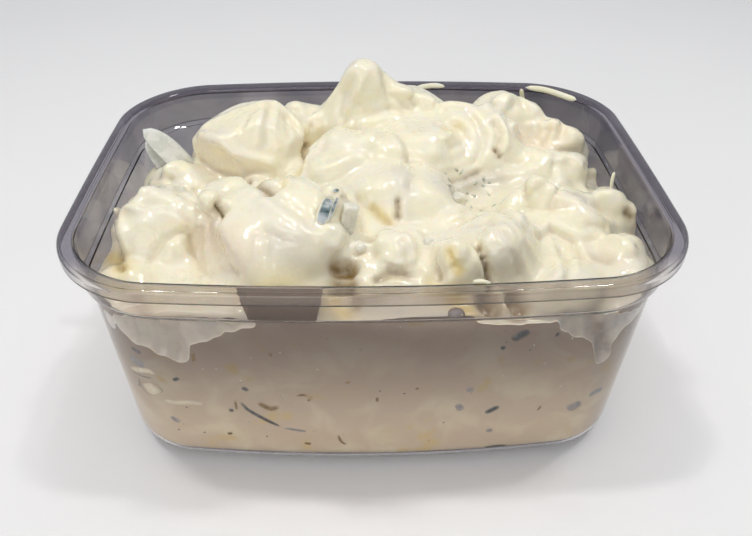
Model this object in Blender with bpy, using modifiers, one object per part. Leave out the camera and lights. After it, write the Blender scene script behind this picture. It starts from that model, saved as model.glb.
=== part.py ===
"""Potato salad heaped in a clear rectangular deli tub, with rounded corners and a turned-down rim.

The tub stands on the plane z = 0, with its long side along X and its front facing -Y.
Sizes are in millimetres, and MM turns them into metres.
"""

import math
import random
from dataclasses import dataclass

import bmesh
import bpy
from mathutils import Euler, Matrix, Vector, noise

MM = 0.001

# The tub's driving sizes: a 138 x 103 mm half-litre deli tub
RIM_LENGTH = 138.0
RIM_WIDTH = 103.0
TUB_HEIGHT = 60.0
WALL = 0.6
RIM_CORNER = 21.5
BASE_CORNER = 15.0
RIM_BOW = 4.0
BASE_BOW = 5.0
SHORT_SIDE_BOW = 0.8
FLANGE = 3.7
SKIRT_DROP = 2.8
EDGE_ROUND = 1.1
COLLAR_DEPTH = 9.5
LEDGE = 0.9
WALL_TAPER = 3.3
BASE_FILLET = 5.0
FOOT_WIDTH = 4.0
PANEL_RISE = 0.8

# How finely the tub's outline is cut
CORNER_STEPS = 7
LONG_SIDE_STEPS = 8
SHORT_SIDE_STEPS = 4
FILLET_STEPS = 4
EDGE_STEPS = 3

# The packed core of the salad
FILL_GAP = 0.3
CUTTER_TOP = 90.0
CORE_OVERSIZE = 1.0
CORE_LEVEL_FRONT = 47.6
CORE_LEVEL_SIDE = 42.0
CORE_LEVEL_BACK = 38.0
CORE_CROWN = 51.0
CORE_SWELL = 1.2
SWELL_LENGTH = 9.0
CORE_RINGS = 5

# The smaller chunks between the main ones, laid over a low dome
FILLER_SEED = 41
FILLER_COUNT = 40
FILLER_SPACING = 8.5
FILLER_TRIES = 4000
FILLER_HALF = (4.0, 7.0)
FILLER_SUNK = 0.35
DOME_EDGE = 44.0
DOME_RISE = 17.0
DOME_HALF = (64.0, 50.0)
DOME_CENTRE_Y = -4.0

# How finely the heap is cut
SIDES_PER_MM = 1.3
LEAST_SIDES = 9
MELT_GRAIN = 1.0
KEPT_TRIANGLES = 8600


@dataclass(frozen=True)
class Lump:
    """One dressed potato chunk or dollop: its centre, half sizes and turn, in millimetres and degrees."""

    name: str
    centre: tuple
    half: tuple
    turn: float = 0.0
    tilt: float = 0.0
    cuts: int = 3
    rough: float = 0.10
    taper: float = 0.0


# The lumps that can be told apart in the heap, from the back to the front
LUMPS = (
    Lump("peak_foot", (0, 25, 60), (19, 13, 14), 6, 0, 1, 0.08, 0.45),
    Lump("peak_tip", (-1, 24, 70), (8, 7, 8), 0, 4, 0, 0.05, 0.3),
    Lump("peak_shoulder", (12, 27, 60), (12, 9, 8), -20),
    Lump("peak_left", (-17, 25, 57), (8, 8, 7), 30, 0, 2),
    Lump("back_left", (-38, 30, 44), (12, 10, 10), 15),
    Lump("back_right", (37, 29, 56), (11, 9, 9), 25, 10),
    Lump("back_right_end", (50, 21, 50), (10, 9, 9), -15),
    Lump("big_chunk", (-30, 12, 58), (16, 12.5, 12), -18, -10, 5, 0.05),
    Lump("centre_dome", (-5, 5, 56), (15, 13, 10), 12, 0, 2),
    Lump("centre_right", (12, 9, 58), (12, 11, 8), 35),
    Lump("swirl", (26, 15, 57), (15, 13, 9.5), -8, 6, 2),
    Lump("right_rear", (43, 7, 49), (13, 11, 10), 20),
    Lump("right_side", (55, 2, 44), (10, 12, 9), 0),
    Lump("left_rear", (-49, 9, 46), (13, 13, 9), 40),
    Lump("left_mound", (-50, -16, 51), (13, 14, 10), -30),
    Lump("left_knob", (-58, -4, 48), (8, 9, 7), 0),
    Lump("left_front", (-53, -33, 44), (12, 11, 9), 25),
    Lump("front_blob", (-21, -24, 54), (18, 16, 13.5), 14, 0, 2, 0.05),
    Lump("front_knob", (-37, -15, 62), (6.5, 5.5, 5), 20, 20, 1),
    Lump("centre_slope", (5, -10, 55), (14, 14, 8.5), -15),
    Lump("centre_front", (2, -32, 49), (12, 11, 9), 10),
    Lump("yellow_chunk", (17, -34, 51), (10, 10, 9.5), -12, 14, 4),
    Lump("pale_chunk", (28, -29, 53), (12, 11, 9.5), 18, -8, 4),
    Lump("right_middle", (42, -14, 50), (15, 14, 9.5), -25),
    Lump("right_tip", (56, -9, 48), (11, 9, 7), 8),
    Lump("right_low", (53, -30, 45), (12, 12, 9), -10),
    Lump("right_front", (40, -36, 47), (11, 10, 9), 22),
    Lump("left_wall", (-38, -38, 45), (12, 10, 9), -8),
    Lump("middle_wall", (-14, -41, 46), (13, 8, 6), 0),
)

# Small things that stand out of the heap: an onion petal and two cut chives
ONION_PETAL = Lump("onion_petal", (-53.5, 15, 54.5), (9.5, 2.6, 4.4), 8, 42, 0, 0.04)
CHIVES = (
    Lump("chive_top", (-10.5, -13, 61), (1.6, 4.0, 1.6), -20, 0, 0, 0.03),
)


def set_up_scene():
    """Remove every object and make one collection for the parts and one for the cutters."""
    for thing in list(bpy.data.objects):
        bpy.data.objects.remove(thing)
    made = []
    for title in ("potato_salad_tub", "cutters"):
        collection = bpy.data.collections.new(title)
        bpy.context.scene.collection.children.link(collection)
        made.append(collection)
    return made


def plain_material(name, colour, roughness, alpha=1.0):
    """A Principled BSDF of one colour."""
    material = bpy.data.materials.new(name)
    material.use_nodes = True
    surface = material.node_tree.nodes["Principled BSDF"]
    surface.inputs["Base Color"].default_value = (*colour, 1.0)
    surface.inputs["Roughness"].default_value = roughness
    surface.inputs["Metallic"].default_value = 0.0
    surface.inputs["Alpha"].default_value = alpha
    return material


def outline(half_x, corner, bow):
    """The tub's plan at one height: a rounded rectangle whose sides bow out, as (x, y) points."""
    half_y = half_x - (RIM_LENGTH - RIM_WIDTH) / 2
    flat_x, flat_y = half_x - SHORT_SIDE_BOW, half_y - bow
    points = []
    for quarter, (side_x, side_y) in enumerate(((1, 1), (-1, 1), (-1, -1), (1, -1))):
        centre_x, centre_y = side_x * (flat_x - corner), side_y * (flat_y - corner)
        for step in range(CORNER_STEPS + 1):
            angle = math.pi / 2 * (quarter + step / CORNER_STEPS)
            points.append((centre_x + corner * math.cos(angle), centre_y + corner * math.sin(angle)))
        last_x, last_y = points[-1]
        along_x = quarter % 2 == 0
        steps = LONG_SIDE_STEPS if along_x else SHORT_SIDE_STEPS
        for step in range(1, steps):
            share = 1 - 2 * step / steps
            points.append((last_x * share, last_y) if along_x else (last_x, last_y * share))
    return [bowed(x, y, flat_x, flat_y, bow) for x, y in points]


def bowed(x, y, flat_x, flat_y, bow):
    """Push a point of the plain rounded rectangle outwards, most at the middle of each side."""
    out_x = 1 + SHORT_SIDE_BOW / flat_x * (1 - (y / flat_y) ** 2)
    out_y = 1 + bow / flat_y * (1 - (x / flat_x) ** 2)
    return x * out_x, y * out_y


def wall_section(height, inset=0.0):
    """(half length, corner radius, bow) of the tub's inner wall at a height, taken in by inset."""
    collar_half = RIM_LENGTH / 2 - FLANGE
    ledge_height = TUB_HEIGHT - COLLAR_DEPTH
    share = min(max(height / ledge_height, 0.0), 1.0)
    corner = BASE_CORNER + (RIM_CORNER - FLANGE - BASE_CORNER) * share
    bow = BASE_BOW + (RIM_BOW - BASE_BOW) * share
    if height > ledge_height:
        return collar_half - inset, corner - inset, bow
    half = collar_half - LEDGE - WALL_TAPER * (1 - share)
    return half - inset, corner - inset, bow


def quarter_round(radius, steps):
    """(rise, inset) pairs up a quarter round that starts level and ends upright."""
    angles = [math.pi / 2 * step / steps for step in range(steps + 1)]
    return [(radius * (1 - math.cos(angle)), radius * (1 - math.sin(angle))) for angle in angles]


def tub_loops():
    """The tub's inner and upper skin, from the middle of the base up, over the flange and down the skirt."""
    base_half, base_corner, base_bow = wall_section(0.0)
    foot = base_half - BASE_FILLET
    foot_corner = base_corner - BASE_FILLET
    sections = [(WALL + PANEL_RISE, foot - FOOT_WIDTH - PANEL_RISE, foot_corner, base_bow),
                (WALL, foot - FOOT_WIDTH, foot_corner, base_bow)]
    for rise, inset in quarter_round(BASE_FILLET, FILLET_STEPS):
        sections.append((WALL + rise, *wall_section(rise, inset)))
    ledge_height = TUB_HEIGHT - COLLAR_DEPTH
    for height in (ledge_height * 0.5, ledge_height - LEDGE):
        sections.append((height, *wall_section(height)))
    collar_half, collar_corner, _ = wall_section(TUB_HEIGHT)
    sections.append((ledge_height, collar_half, collar_corner, RIM_BOW))
    for grow, drop in quarter_round(EDGE_ROUND, EDGE_STEPS):
        sections.append((TUB_HEIGHT - drop, collar_half + grow, collar_corner + grow, RIM_BOW))
    for drop, inset in quarter_round(EDGE_ROUND, EDGE_STEPS):
        sections.append((TUB_HEIGHT - drop, RIM_LENGTH / 2 - inset, RIM_CORNER - inset, RIM_BOW))
    sections.append((TUB_HEIGHT - SKIRT_DROP, RIM_LENGTH / 2, RIM_CORNER, RIM_BOW))
    return [[(x, y, height) for x, y in outline(half, corner, bow)] for height, half, corner, bow in sections]


def loft(loops, cap_first, cap_last):
    """A mesh through loops of points of one length, in metres, with flat caps where asked."""
    body = bmesh.new()
    rings = [[body.verts.new(Vector(point) * MM) for point in loop] for loop in loops]
    for lower, upper in zip(rings, rings[1:]):
        for i, vertex in enumerate(lower):
            after = (i + 1) % len(lower)
            body.faces.new((vertex, lower[after], upper[after], upper[i]))
    if cap_first:
        body.faces.new(list(reversed(rings[0])))
    if cap_last:
        body.faces.new(rings[-1])
    bmesh.ops.recalc_face_normals(body, faces=body.faces)
    return body


def new_object(name, body, collection, material=None):
    """An object of this bmesh in a collection, shaded smooth apart from its sharp edges."""
    mesh = bpy.data.meshes.new(name)
    body.to_mesh(mesh)
    body.free()
    mesh.shade_smooth()
    mesh.set_sharp_from_angle(angle=math.radians(40))
    made = bpy.data.objects.new(name, mesh)
    if material:
        mesh.materials.append(material)
    collection.objects.link(made)
    return made


def build_tub(collection, material):
    """The clear tub: one lofted skin with a wall's thickness."""
    body = loft(tub_loops(), cap_first=True, cap_last=False)
    base = max(body.faces, key=lambda face: face.calc_area())
    if base.normal.z < 0:
        bmesh.ops.reverse_faces(body, faces=body.faces)
    tub = new_object("tub", body, collection, material)
    shell = tub.modifiers.new("wall", "SOLIDIFY")
    shell.thickness = WALL * MM
    shell.offset = -1.0
    shell.use_even_offset = True
    return tub


def build_inside_cutter(collection):
    """The space that the salad may fill: the tub's inside less a hair's gap, carried up past the rim."""
    floor = WALL + PANEL_RISE + FILL_GAP
    loops = []
    for rise, inset in quarter_round(BASE_FILLET, FILLET_STEPS):
        half, corner, bow = wall_section(rise, inset + FILL_GAP)
        loops.append([(x, y, floor + rise) for x, y in outline(half, corner, bow)])
    ledge_height = TUB_HEIGHT - COLLAR_DEPTH
    for height in (ledge_height * 0.5, ledge_height - LEDGE - FILL_GAP, CUTTER_TOP):
        half, corner, bow = wall_section(min(height, ledge_height - LEDGE), FILL_GAP)
        loops.append([(x, y, height) for x, y in outline(half, corner, bow)])
    cutter = new_object("inside_of_tub", loft(loops, True, True), collection)
    cutter.hide_render = True
    cutter.display_type = "WIRE"
    return cutter


def core_level(x, y):
    """How high the packed salad stands at a place: high in front, lower behind, with a slow swell."""
    reach = 2 * y / RIM_WIDTH
    end = CORE_LEVEL_BACK if reach > 0 else CORE_LEVEL_FRONT
    level = CORE_LEVEL_SIDE + (end - CORE_LEVEL_SIDE) * abs(reach)
    return level + CORE_SWELL * math.sin(x / SWELL_LENGTH)


def build_core(collection):
    """The packed lower salad: it fills the tub up to a wavy edge and has a low crown."""
    half, corner, bow = wall_section(TUB_HEIGHT * 0.5, -CORE_OVERSIZE)
    edge = outline(half + WALL_TAPER, corner, bow)
    loops = [[(x, y, 0.0) for x, y in edge], [(x, y, core_level(x, y)) for x, y in edge]]
    for ring in range(1, CORE_RINGS):
        share = ring / CORE_RINGS
        rise = math.sin(share * math.pi / 2)
        loops.append([(x * (1 - share), y * (1 - share),
                       core_level(x, y) * (1 - rise) + CORE_CROWN * rise) for x, y in edge])
    return new_object("salad_core", loft(loops, True, True), collection)


def cut_planes(rng, count):
    """Directions and depths of the flat knife cuts on one potato chunk."""
    planes = []
    for _ in range(count):
        direction = Vector((rng.uniform(-1, 1), rng.uniform(-1, 1), rng.uniform(-0.3, 1))).normalized()
        planes.append((direction, rng.uniform(0.62, 0.84)))
    return planes


def build_lump(lump, collection):
    """A rounded chunk with a few flattened cuts and an uneven coat."""
    rng = random.Random(lump.name)
    planes = cut_planes(rng, lump.cuts)
    drift = Vector([rng.uniform(-50, 50) for _ in range(3)])
    body = bmesh.new()
    sides = max(LEAST_SIDES, round(max(lump.half) * SIDES_PER_MM))
    bmesh.ops.create_uvsphere(body, u_segments=sides, v_segments=round(sides * 0.62), radius=1.0)
    for vertex in body.verts:
        direction = vertex.co.normalized()
        reach = 1 + lump.rough * noise.noise(direction * 1.7 + drift) * 2
        place = direction * reach
        for normal, depth in planes:
            over = place.dot(normal) - depth
            if over > 0:
                place -= normal * over * 0.8
        narrow = 1 - lump.taper * (place.z + 1) / 2
        vertex.co = Vector((place.x * narrow, place.y * narrow, place.z))
    turn = Euler((0, math.radians(lump.tilt), math.radians(lump.turn))).to_matrix().to_4x4()
    size = Matrix.Diagonal((*[h * MM for h in lump.half], 1.0))
    place = Matrix.Translation(Vector(lump.centre) * MM) @ turn @ size
    bmesh.ops.transform(body, matrix=place, verts=body.verts)
    return new_object(lump.name, body, collection)


def dome_height(x, y):
    """The rough height of the heap's top over a place in the tub."""
    across = max(0.0, 1 - (x / DOME_HALF[0]) ** 2)
    along = max(0.0, 1 - ((y - DOME_CENTRE_Y) / DOME_HALF[1]) ** 2)
    return DOME_EDGE + DOME_RISE * across ** 0.8 * along ** 0.7


def filler_lumps():
    """Smaller chunks and dollops between the main ones, spread evenly by a seeded draw."""
    rng = random.Random(FILLER_SEED)
    placed = []
    for _ in range(FILLER_TRIES):
        x, y = rng.uniform(-58, 58), rng.uniform(-42, 41)
        size = rng.uniform(*FILLER_HALF)
        stretch, turn = rng.uniform(0.9, 1.4), rng.uniform(0, 180)
        near = any(math.hypot(x - other.centre[0], y - other.centre[1]) < FILLER_SPACING for other in placed)
        if not near and len(placed) < FILLER_COUNT:
            centre = (x, y, dome_height(x, y) - size * FILLER_SUNK)
            half = (size * stretch, size, size * 0.8)
            placed.append(Lump(f"filler_{len(placed):02d}", centre, half, turn, 0, 2))
    return placed


def outer_skin(mesh):
    """The mesh without the sealed hollows that fusing leaves inside it."""
    body = bmesh.new()
    body.from_mesh(mesh)
    waiting = set(body.verts)
    shells = []
    while waiting:
        start = waiting.pop()
        shell = {start}
        frontier = [start]
        while frontier:
            for edge in frontier.pop().link_edges:
                found = waiting.intersection(edge.verts)
                waiting -= found
                shell |= found
                frontier.extend(found)
        shells.append(shell)
    shells.sort(key=len, reverse=True)
    hollows = [vertex for shell in shells[1:] for vertex in shell]
    bmesh.ops.delete(body, geom=hollows, context="VERTS")
    return body


def applied(thing):
    """A new mesh of the object as its modifiers leave it."""
    bpy.context.view_layer.update()
    return bpy.data.meshes.new_from_object(thing.evaluated_get(bpy.context.evaluated_depsgraph_get()))


def build_salad(collection, cutters, material):
    """The heap as one solid: a packed core with the chunks and dollops that show fused on."""
    inside = build_inside_cutter(cutters)
    pieces = bpy.data.collections.new("salad_pieces")
    bpy.context.scene.collection.children.link(pieces)
    for lump in (*LUMPS, *filler_lumps(), ONION_PETAL, *CHIVES):
        build_lump(lump, pieces)
    core = build_core(collection)
    union = core.modifiers.new("fuse", "BOOLEAN")
    union.operation = "UNION"
    union.operand_type = "COLLECTION"
    union.collection = pieces
    union.solver = "MANIFOLD"
    melt = core.modifiers.new("melt", "REMESH")
    melt.mode = "VOXEL"
    melt.voxel_size = MELT_GRAIN * MM
    heap = new_object("heap", outer_skin(applied(core)), collection)
    thin = heap.modifiers.new("thin_out", "DECIMATE")
    thin.ratio = KEPT_TRIANGLES / (2 * len(heap.data.polygons))
    trim = heap.modifiers.new("trim", "BOOLEAN")
    trim.operation = "INTERSECT"
    trim.object = inside
    salad = new_object("potato_salad", outer_skin(applied(heap)), collection, material)
    for leftover in (core, heap, *pieces.objects):
        bpy.data.objects.remove(leftover)
    bpy.data.collections.remove(pieces)
    return salad


def main():
    """Build the tub and the salad in it."""
    parts, cutters = set_up_scene()
    clear_plastic = plain_material("clear_plastic", (0.62, 0.60, 0.63), 0.12, 0.4)
    dressed_potato = plain_material("dressed_potato", (0.90, 0.84, 0.68), 0.35)
    build_tub(parts, clear_plastic)
    build_salad(parts, cutters, dressed_potato)


main()
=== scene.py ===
"""The looks of a potato salad heaped in a clear deli tub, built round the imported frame.

Sizes are in millimetres, in the frame's own axes: +Z up, the tub's long side along X, its front facing -Y.
"""

import logging
import math
import random
from dataclasses import dataclass, field, replace
from enum import Enum

import bmesh
import bpy
import numpy as np
from bpy.types import Material, Mesh, Node, NodeSocket as Socket, NodeTree, Object
from mathutils import Euler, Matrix, Quaternion, Vector, noise
from mathutils.bvhtree import BVHTree
from mathutils.kdtree import KDTree


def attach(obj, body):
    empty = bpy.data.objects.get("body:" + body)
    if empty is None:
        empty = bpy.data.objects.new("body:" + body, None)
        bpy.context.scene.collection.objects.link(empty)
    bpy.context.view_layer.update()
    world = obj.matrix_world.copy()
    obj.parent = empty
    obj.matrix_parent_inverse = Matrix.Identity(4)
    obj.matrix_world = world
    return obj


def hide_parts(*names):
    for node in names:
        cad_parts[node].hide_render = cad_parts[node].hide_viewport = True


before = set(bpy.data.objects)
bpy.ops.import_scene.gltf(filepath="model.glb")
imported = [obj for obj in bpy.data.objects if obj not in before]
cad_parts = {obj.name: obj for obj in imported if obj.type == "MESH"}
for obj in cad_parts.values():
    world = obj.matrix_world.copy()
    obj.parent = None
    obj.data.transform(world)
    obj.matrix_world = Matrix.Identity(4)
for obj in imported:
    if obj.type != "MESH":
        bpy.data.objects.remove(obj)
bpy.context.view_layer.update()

MM = 0.001
BODY = "root"

log = logging.getLogger("potato_salad")

Colour = tuple[float, float, float]
Point = tuple[float, float, float]
Pair = tuple[float, float]
Inputs = dict[str | int, object]


class Slot(Enum):
    """The record's material slots."""

    PLASTIC = "clear_plastic"
    SALAD = "dressed_potato"


class Side(Enum):
    """The two kinds of surface that the salad shows."""

    OPEN = 0
    PRESSED = 1


class Sculpt(Enum):
    """What a sculpting stroke does to the soft surface."""

    RIDGE = "ridge"
    GROOVE = "groove"
    FOLD = "fold"


class Tint(Enum):
    """Patches of another colour on the dressing, by the attribute that stores it.

    Brown lies in crevices and pits, partly a brown stain and partly painted shade; yellow is potato showing
    through; grey is partly onion and herbs showing through and partly painted shade; pink is painted shade
    on faces turned from the light.
    """

    BROWN = "brown"
    YELLOW = "yellow"
    GREY = "grey"
    PINK = "pink"


def from_srgb(red: int, green: int, blue: int) -> Colour:
    """A display colour, 0 to 255, as the linear colour that shaders take."""
    levels = [value / 255 for value in (red, green, blue)]
    return tuple(v / 12.92 if v <= 0.04045 else ((v + 0.055) / 1.055) ** 2.4 for v in levels)


@dataclass
class NodeSheet:
    """A node tree being filled: it adds nodes and joins or sets their sockets."""

    tree: NodeTree

    def node(self, kind: str, inputs: Inputs | None = None, **settings: object) -> Node:
        """Add a node, set its plain properties and fill its inputs.

        Args:
            kind: The node's type name.
            inputs: What goes into it, by the inputs' names or numbers.
            settings: Its properties by name.

        Returns:
            The new node.
        """
        made = self.tree.nodes.new(kind)
        for name, value in settings.items():
            setattr(made, name, value)
        self.fill(made, inputs or {})
        return made

    def fill(self, node: Node, inputs: Inputs) -> None:
        """Fill a node's inputs, by their names or numbers, with sockets or plain values."""
        for name, source in inputs.items():
            self.feed(node.inputs[name], source)

    def feed(self, target: Socket, source: object) -> None:
        """Join a socket to the target, or set the target's value where the source is a plain one.

        Args:
            target: The input to fill.
            source: A socket, a number, a triple or a name.
        """
        if isinstance(source, Socket):
            self.tree.links.new(source, target)
        elif isinstance(source, (tuple, list)) and len(source) == 3 and target.type == "RGBA":
            target.default_value = (*source, 1.0)
        else:
            target.default_value = source

    def math(self, operation: str, *values: object, clamp: bool = False) -> Socket:
        """A Math node's result on sockets or numbers."""
        made = self.node("ShaderNodeMath", dict(enumerate(values)), operation=operation, use_clamp=clamp)
        return made.outputs[0]

    def vector(self, operation: str, *values: object) -> Socket:
        """A Vector Math node's vector result on sockets or triples."""
        made = self.node("ShaderNodeVectorMath", dict(enumerate(values)), operation=operation)
        return made.outputs["Vector"]

    def scaled(self, vector: Socket, factor: object) -> Socket:
        """A vector times a number."""
        made = self.node("ShaderNodeVectorMath", {"Vector": vector, "Scale": factor}, operation="SCALE")
        return made.outputs["Vector"]

    def parts(self, vector: Socket) -> tuple[Socket, Socket, Socket]:
        """A vector's x, y and z."""
        return tuple(self.node("ShaderNodeSeparateXYZ", {0: vector}).outputs)

    def joined(self, x: object, y: object, z: object) -> Socket:
        """A vector from its x, y and z."""
        return self.node("ShaderNodeCombineXYZ", {0: x, 1: y, 2: z}).outputs[0]

    def ramp(self, value: object, low: object, high: object, bottom: object = 0.0,
             top: object = 1.0) -> Socket:
        """A smooth step of a value from low to high, between bottom and top."""
        inputs = {"Value": value, "From Min": low, "From Max": high, "To Min": bottom, "To Max": top}
        return self.node("ShaderNodeMapRange", inputs, interpolation_type="SMOOTHSTEP").outputs["Result"]

    def blend(self, amount: object, first: object, second: object, mode: str = "MIX") -> Socket:
        """Two colours mixed.

        Args:
            amount: The second colour's share.
            first: The first colour.
            second: The second colour.
            mode: How the node mixes them.

        Returns:
            The mixed colour.
        """
        made = self.node("ShaderNodeMix", data_type="RGBA", blend_type=mode)
        for name, source in (("Factor_Float", amount), ("A_Color", first), ("B_Color", second)):
            self.feed(next(s for s in made.inputs if s.identifier == name), source)
        return next(s for s in made.outputs if s.identifier == "Result_Color")

    def noise(self, place: object, scale: object, detail: float = 2.0, distortion: float = 0.0) -> Socket:
        """A noise value at a place, about 0.5 on average, with scale swells to a millimetre."""
        inputs = {"Vector": place, "Scale": scale, "Detail": detail, "Distortion": distortion}
        return self.node("ShaderNodeTexNoise", inputs).outputs[0]

    def bump(self, height: Socket, strength: float, distance: float) -> Socket:
        """A normal that follows a height, whose full rise is a distance in millimetres."""
        inputs = {"Height": height, "Strength": strength, "Distance": distance * MM}
        return self.node("ShaderNodeBump", inputs).outputs[0]

    def stored(self, name: str) -> Socket:
        """A value stored on the mesh."""
        return self.node("ShaderNodeAttribute", attribute_name=name).outputs["Fac"]


def declare(tree: NodeTree, name: str, kind: str, way: str = "INPUT") -> None:
    """Give a node group one more named socket."""
    tree.interface.new_socket(name=name, in_out=way, socket_type=kind)


def object_place(sheet: NodeSheet) -> Socket:
    """Object coordinates in a shader tree, in millimetres."""
    return sheet.scaled(sheet.node("ShaderNodeTexCoord").outputs["Object"], 1 / MM)


def new_material(name: str) -> tuple[Material, NodeSheet, Node]:
    """A node material with its Principled BSDF.

    Args:
        name: The material's name.

    Returns:
        The material, its node sheet and the Principled node.
    """
    material = bpy.data.materials.new(name)
    material.use_nodes = True
    sheet = NodeSheet(material.node_tree)
    return material, sheet, material.node_tree.nodes["Principled BSDF"]


def add_object(name: str, mesh: Mesh, *materials: Material) -> Object:
    """A linked object that carries a mesh.

    Args:
        name: The object's name.
        mesh: The mesh.
        materials: The mesh's materials.

    Returns:
        The object.
    """
    made = bpy.data.objects.new(name, mesh)
    bpy.context.scene.collection.objects.link(made)
    for material in materials:
        mesh.materials.append(material)
    return made


def mesh_from(body: bmesh.types.BMesh, name: str) -> Mesh:
    """A plain mesh from a bmesh, which is freed.

    Args:
        body: The bmesh.
        name: The mesh's name.

    Returns:
        The mesh.
    """
    mesh = bpy.data.meshes.new(name)
    body.to_mesh(mesh)
    body.free()
    return mesh


def face_out(mesh: Mesh) -> Mesh:
    """Turn a closed mesh's faces outwards.

    Args:
        mesh: The mesh.

    Returns:
        The same mesh.
    """
    body = bmesh.new()
    body.from_mesh(mesh)
    bmesh.ops.recalc_face_normals(body, faces=body.faces)
    body.to_mesh(mesh)
    body.free()
    return mesh


def settled_mesh(thing: Object) -> Mesh:
    """A new plain mesh of an object as its modifiers leave it.

    Args:
        thing: The object.

    Returns:
        The mesh.
    """
    bpy.context.view_layer.update()
    seen = thing.evaluated_get(bpy.context.evaluated_depsgraph_get())
    return bpy.data.meshes.new_from_object(seen)


def set_input(modifier: bpy.types.NodesModifier, name: str, value: object) -> None:
    """Set a Geometry Nodes modifier's input by the identifier of its named socket.

    Args:
        modifier: The modifier.
        name: The socket's name.
        value: The value.
    """
    for item in modifier.node_group.interface.items_tree:
        if item.item_type == "SOCKET" and item.in_out == "INPUT" and item.name == name:
            modifier[item.identifier] = value
            return
    raise KeyError(name)


def run_nodes(thing: Object, tree: NodeTree, values: dict[str, object]) -> Mesh:
    """Put a Geometry Nodes tree on an object, and return the plain mesh that it makes.

    Args:
        thing: The object whose mesh goes in.
        tree: The node tree.
        values: The tree's inputs by name.

    Returns:
        The plain mesh. The modifier is taken off again.
    """
    modifier = thing.modifiers.new(tree.name, "NODES")
    modifier.node_group = tree
    for name, value in values.items():
        set_input(modifier, name, value)
    mesh = settled_mesh(thing)
    thing.modifiers.remove(modifier)
    return mesh


@dataclass(frozen=True)
class Section:
    """A level outline: a rounded rectangle at one height, whose sides bow out.

    outside is 1 on the skin that is seen from outside, and 0 on the skin round the contents. edge is 1 along
    a sharp turn, where a painted dark line stands in for the dark refraction there.
    """

    height: float
    half_x: float
    half_y: float
    corner: float
    bow_x: float
    bow_y: float
    outside: float = 0.0
    edge: float = 0.0


POLE_HALF = 0.004
POLE_CORNER = 0.001


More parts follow.
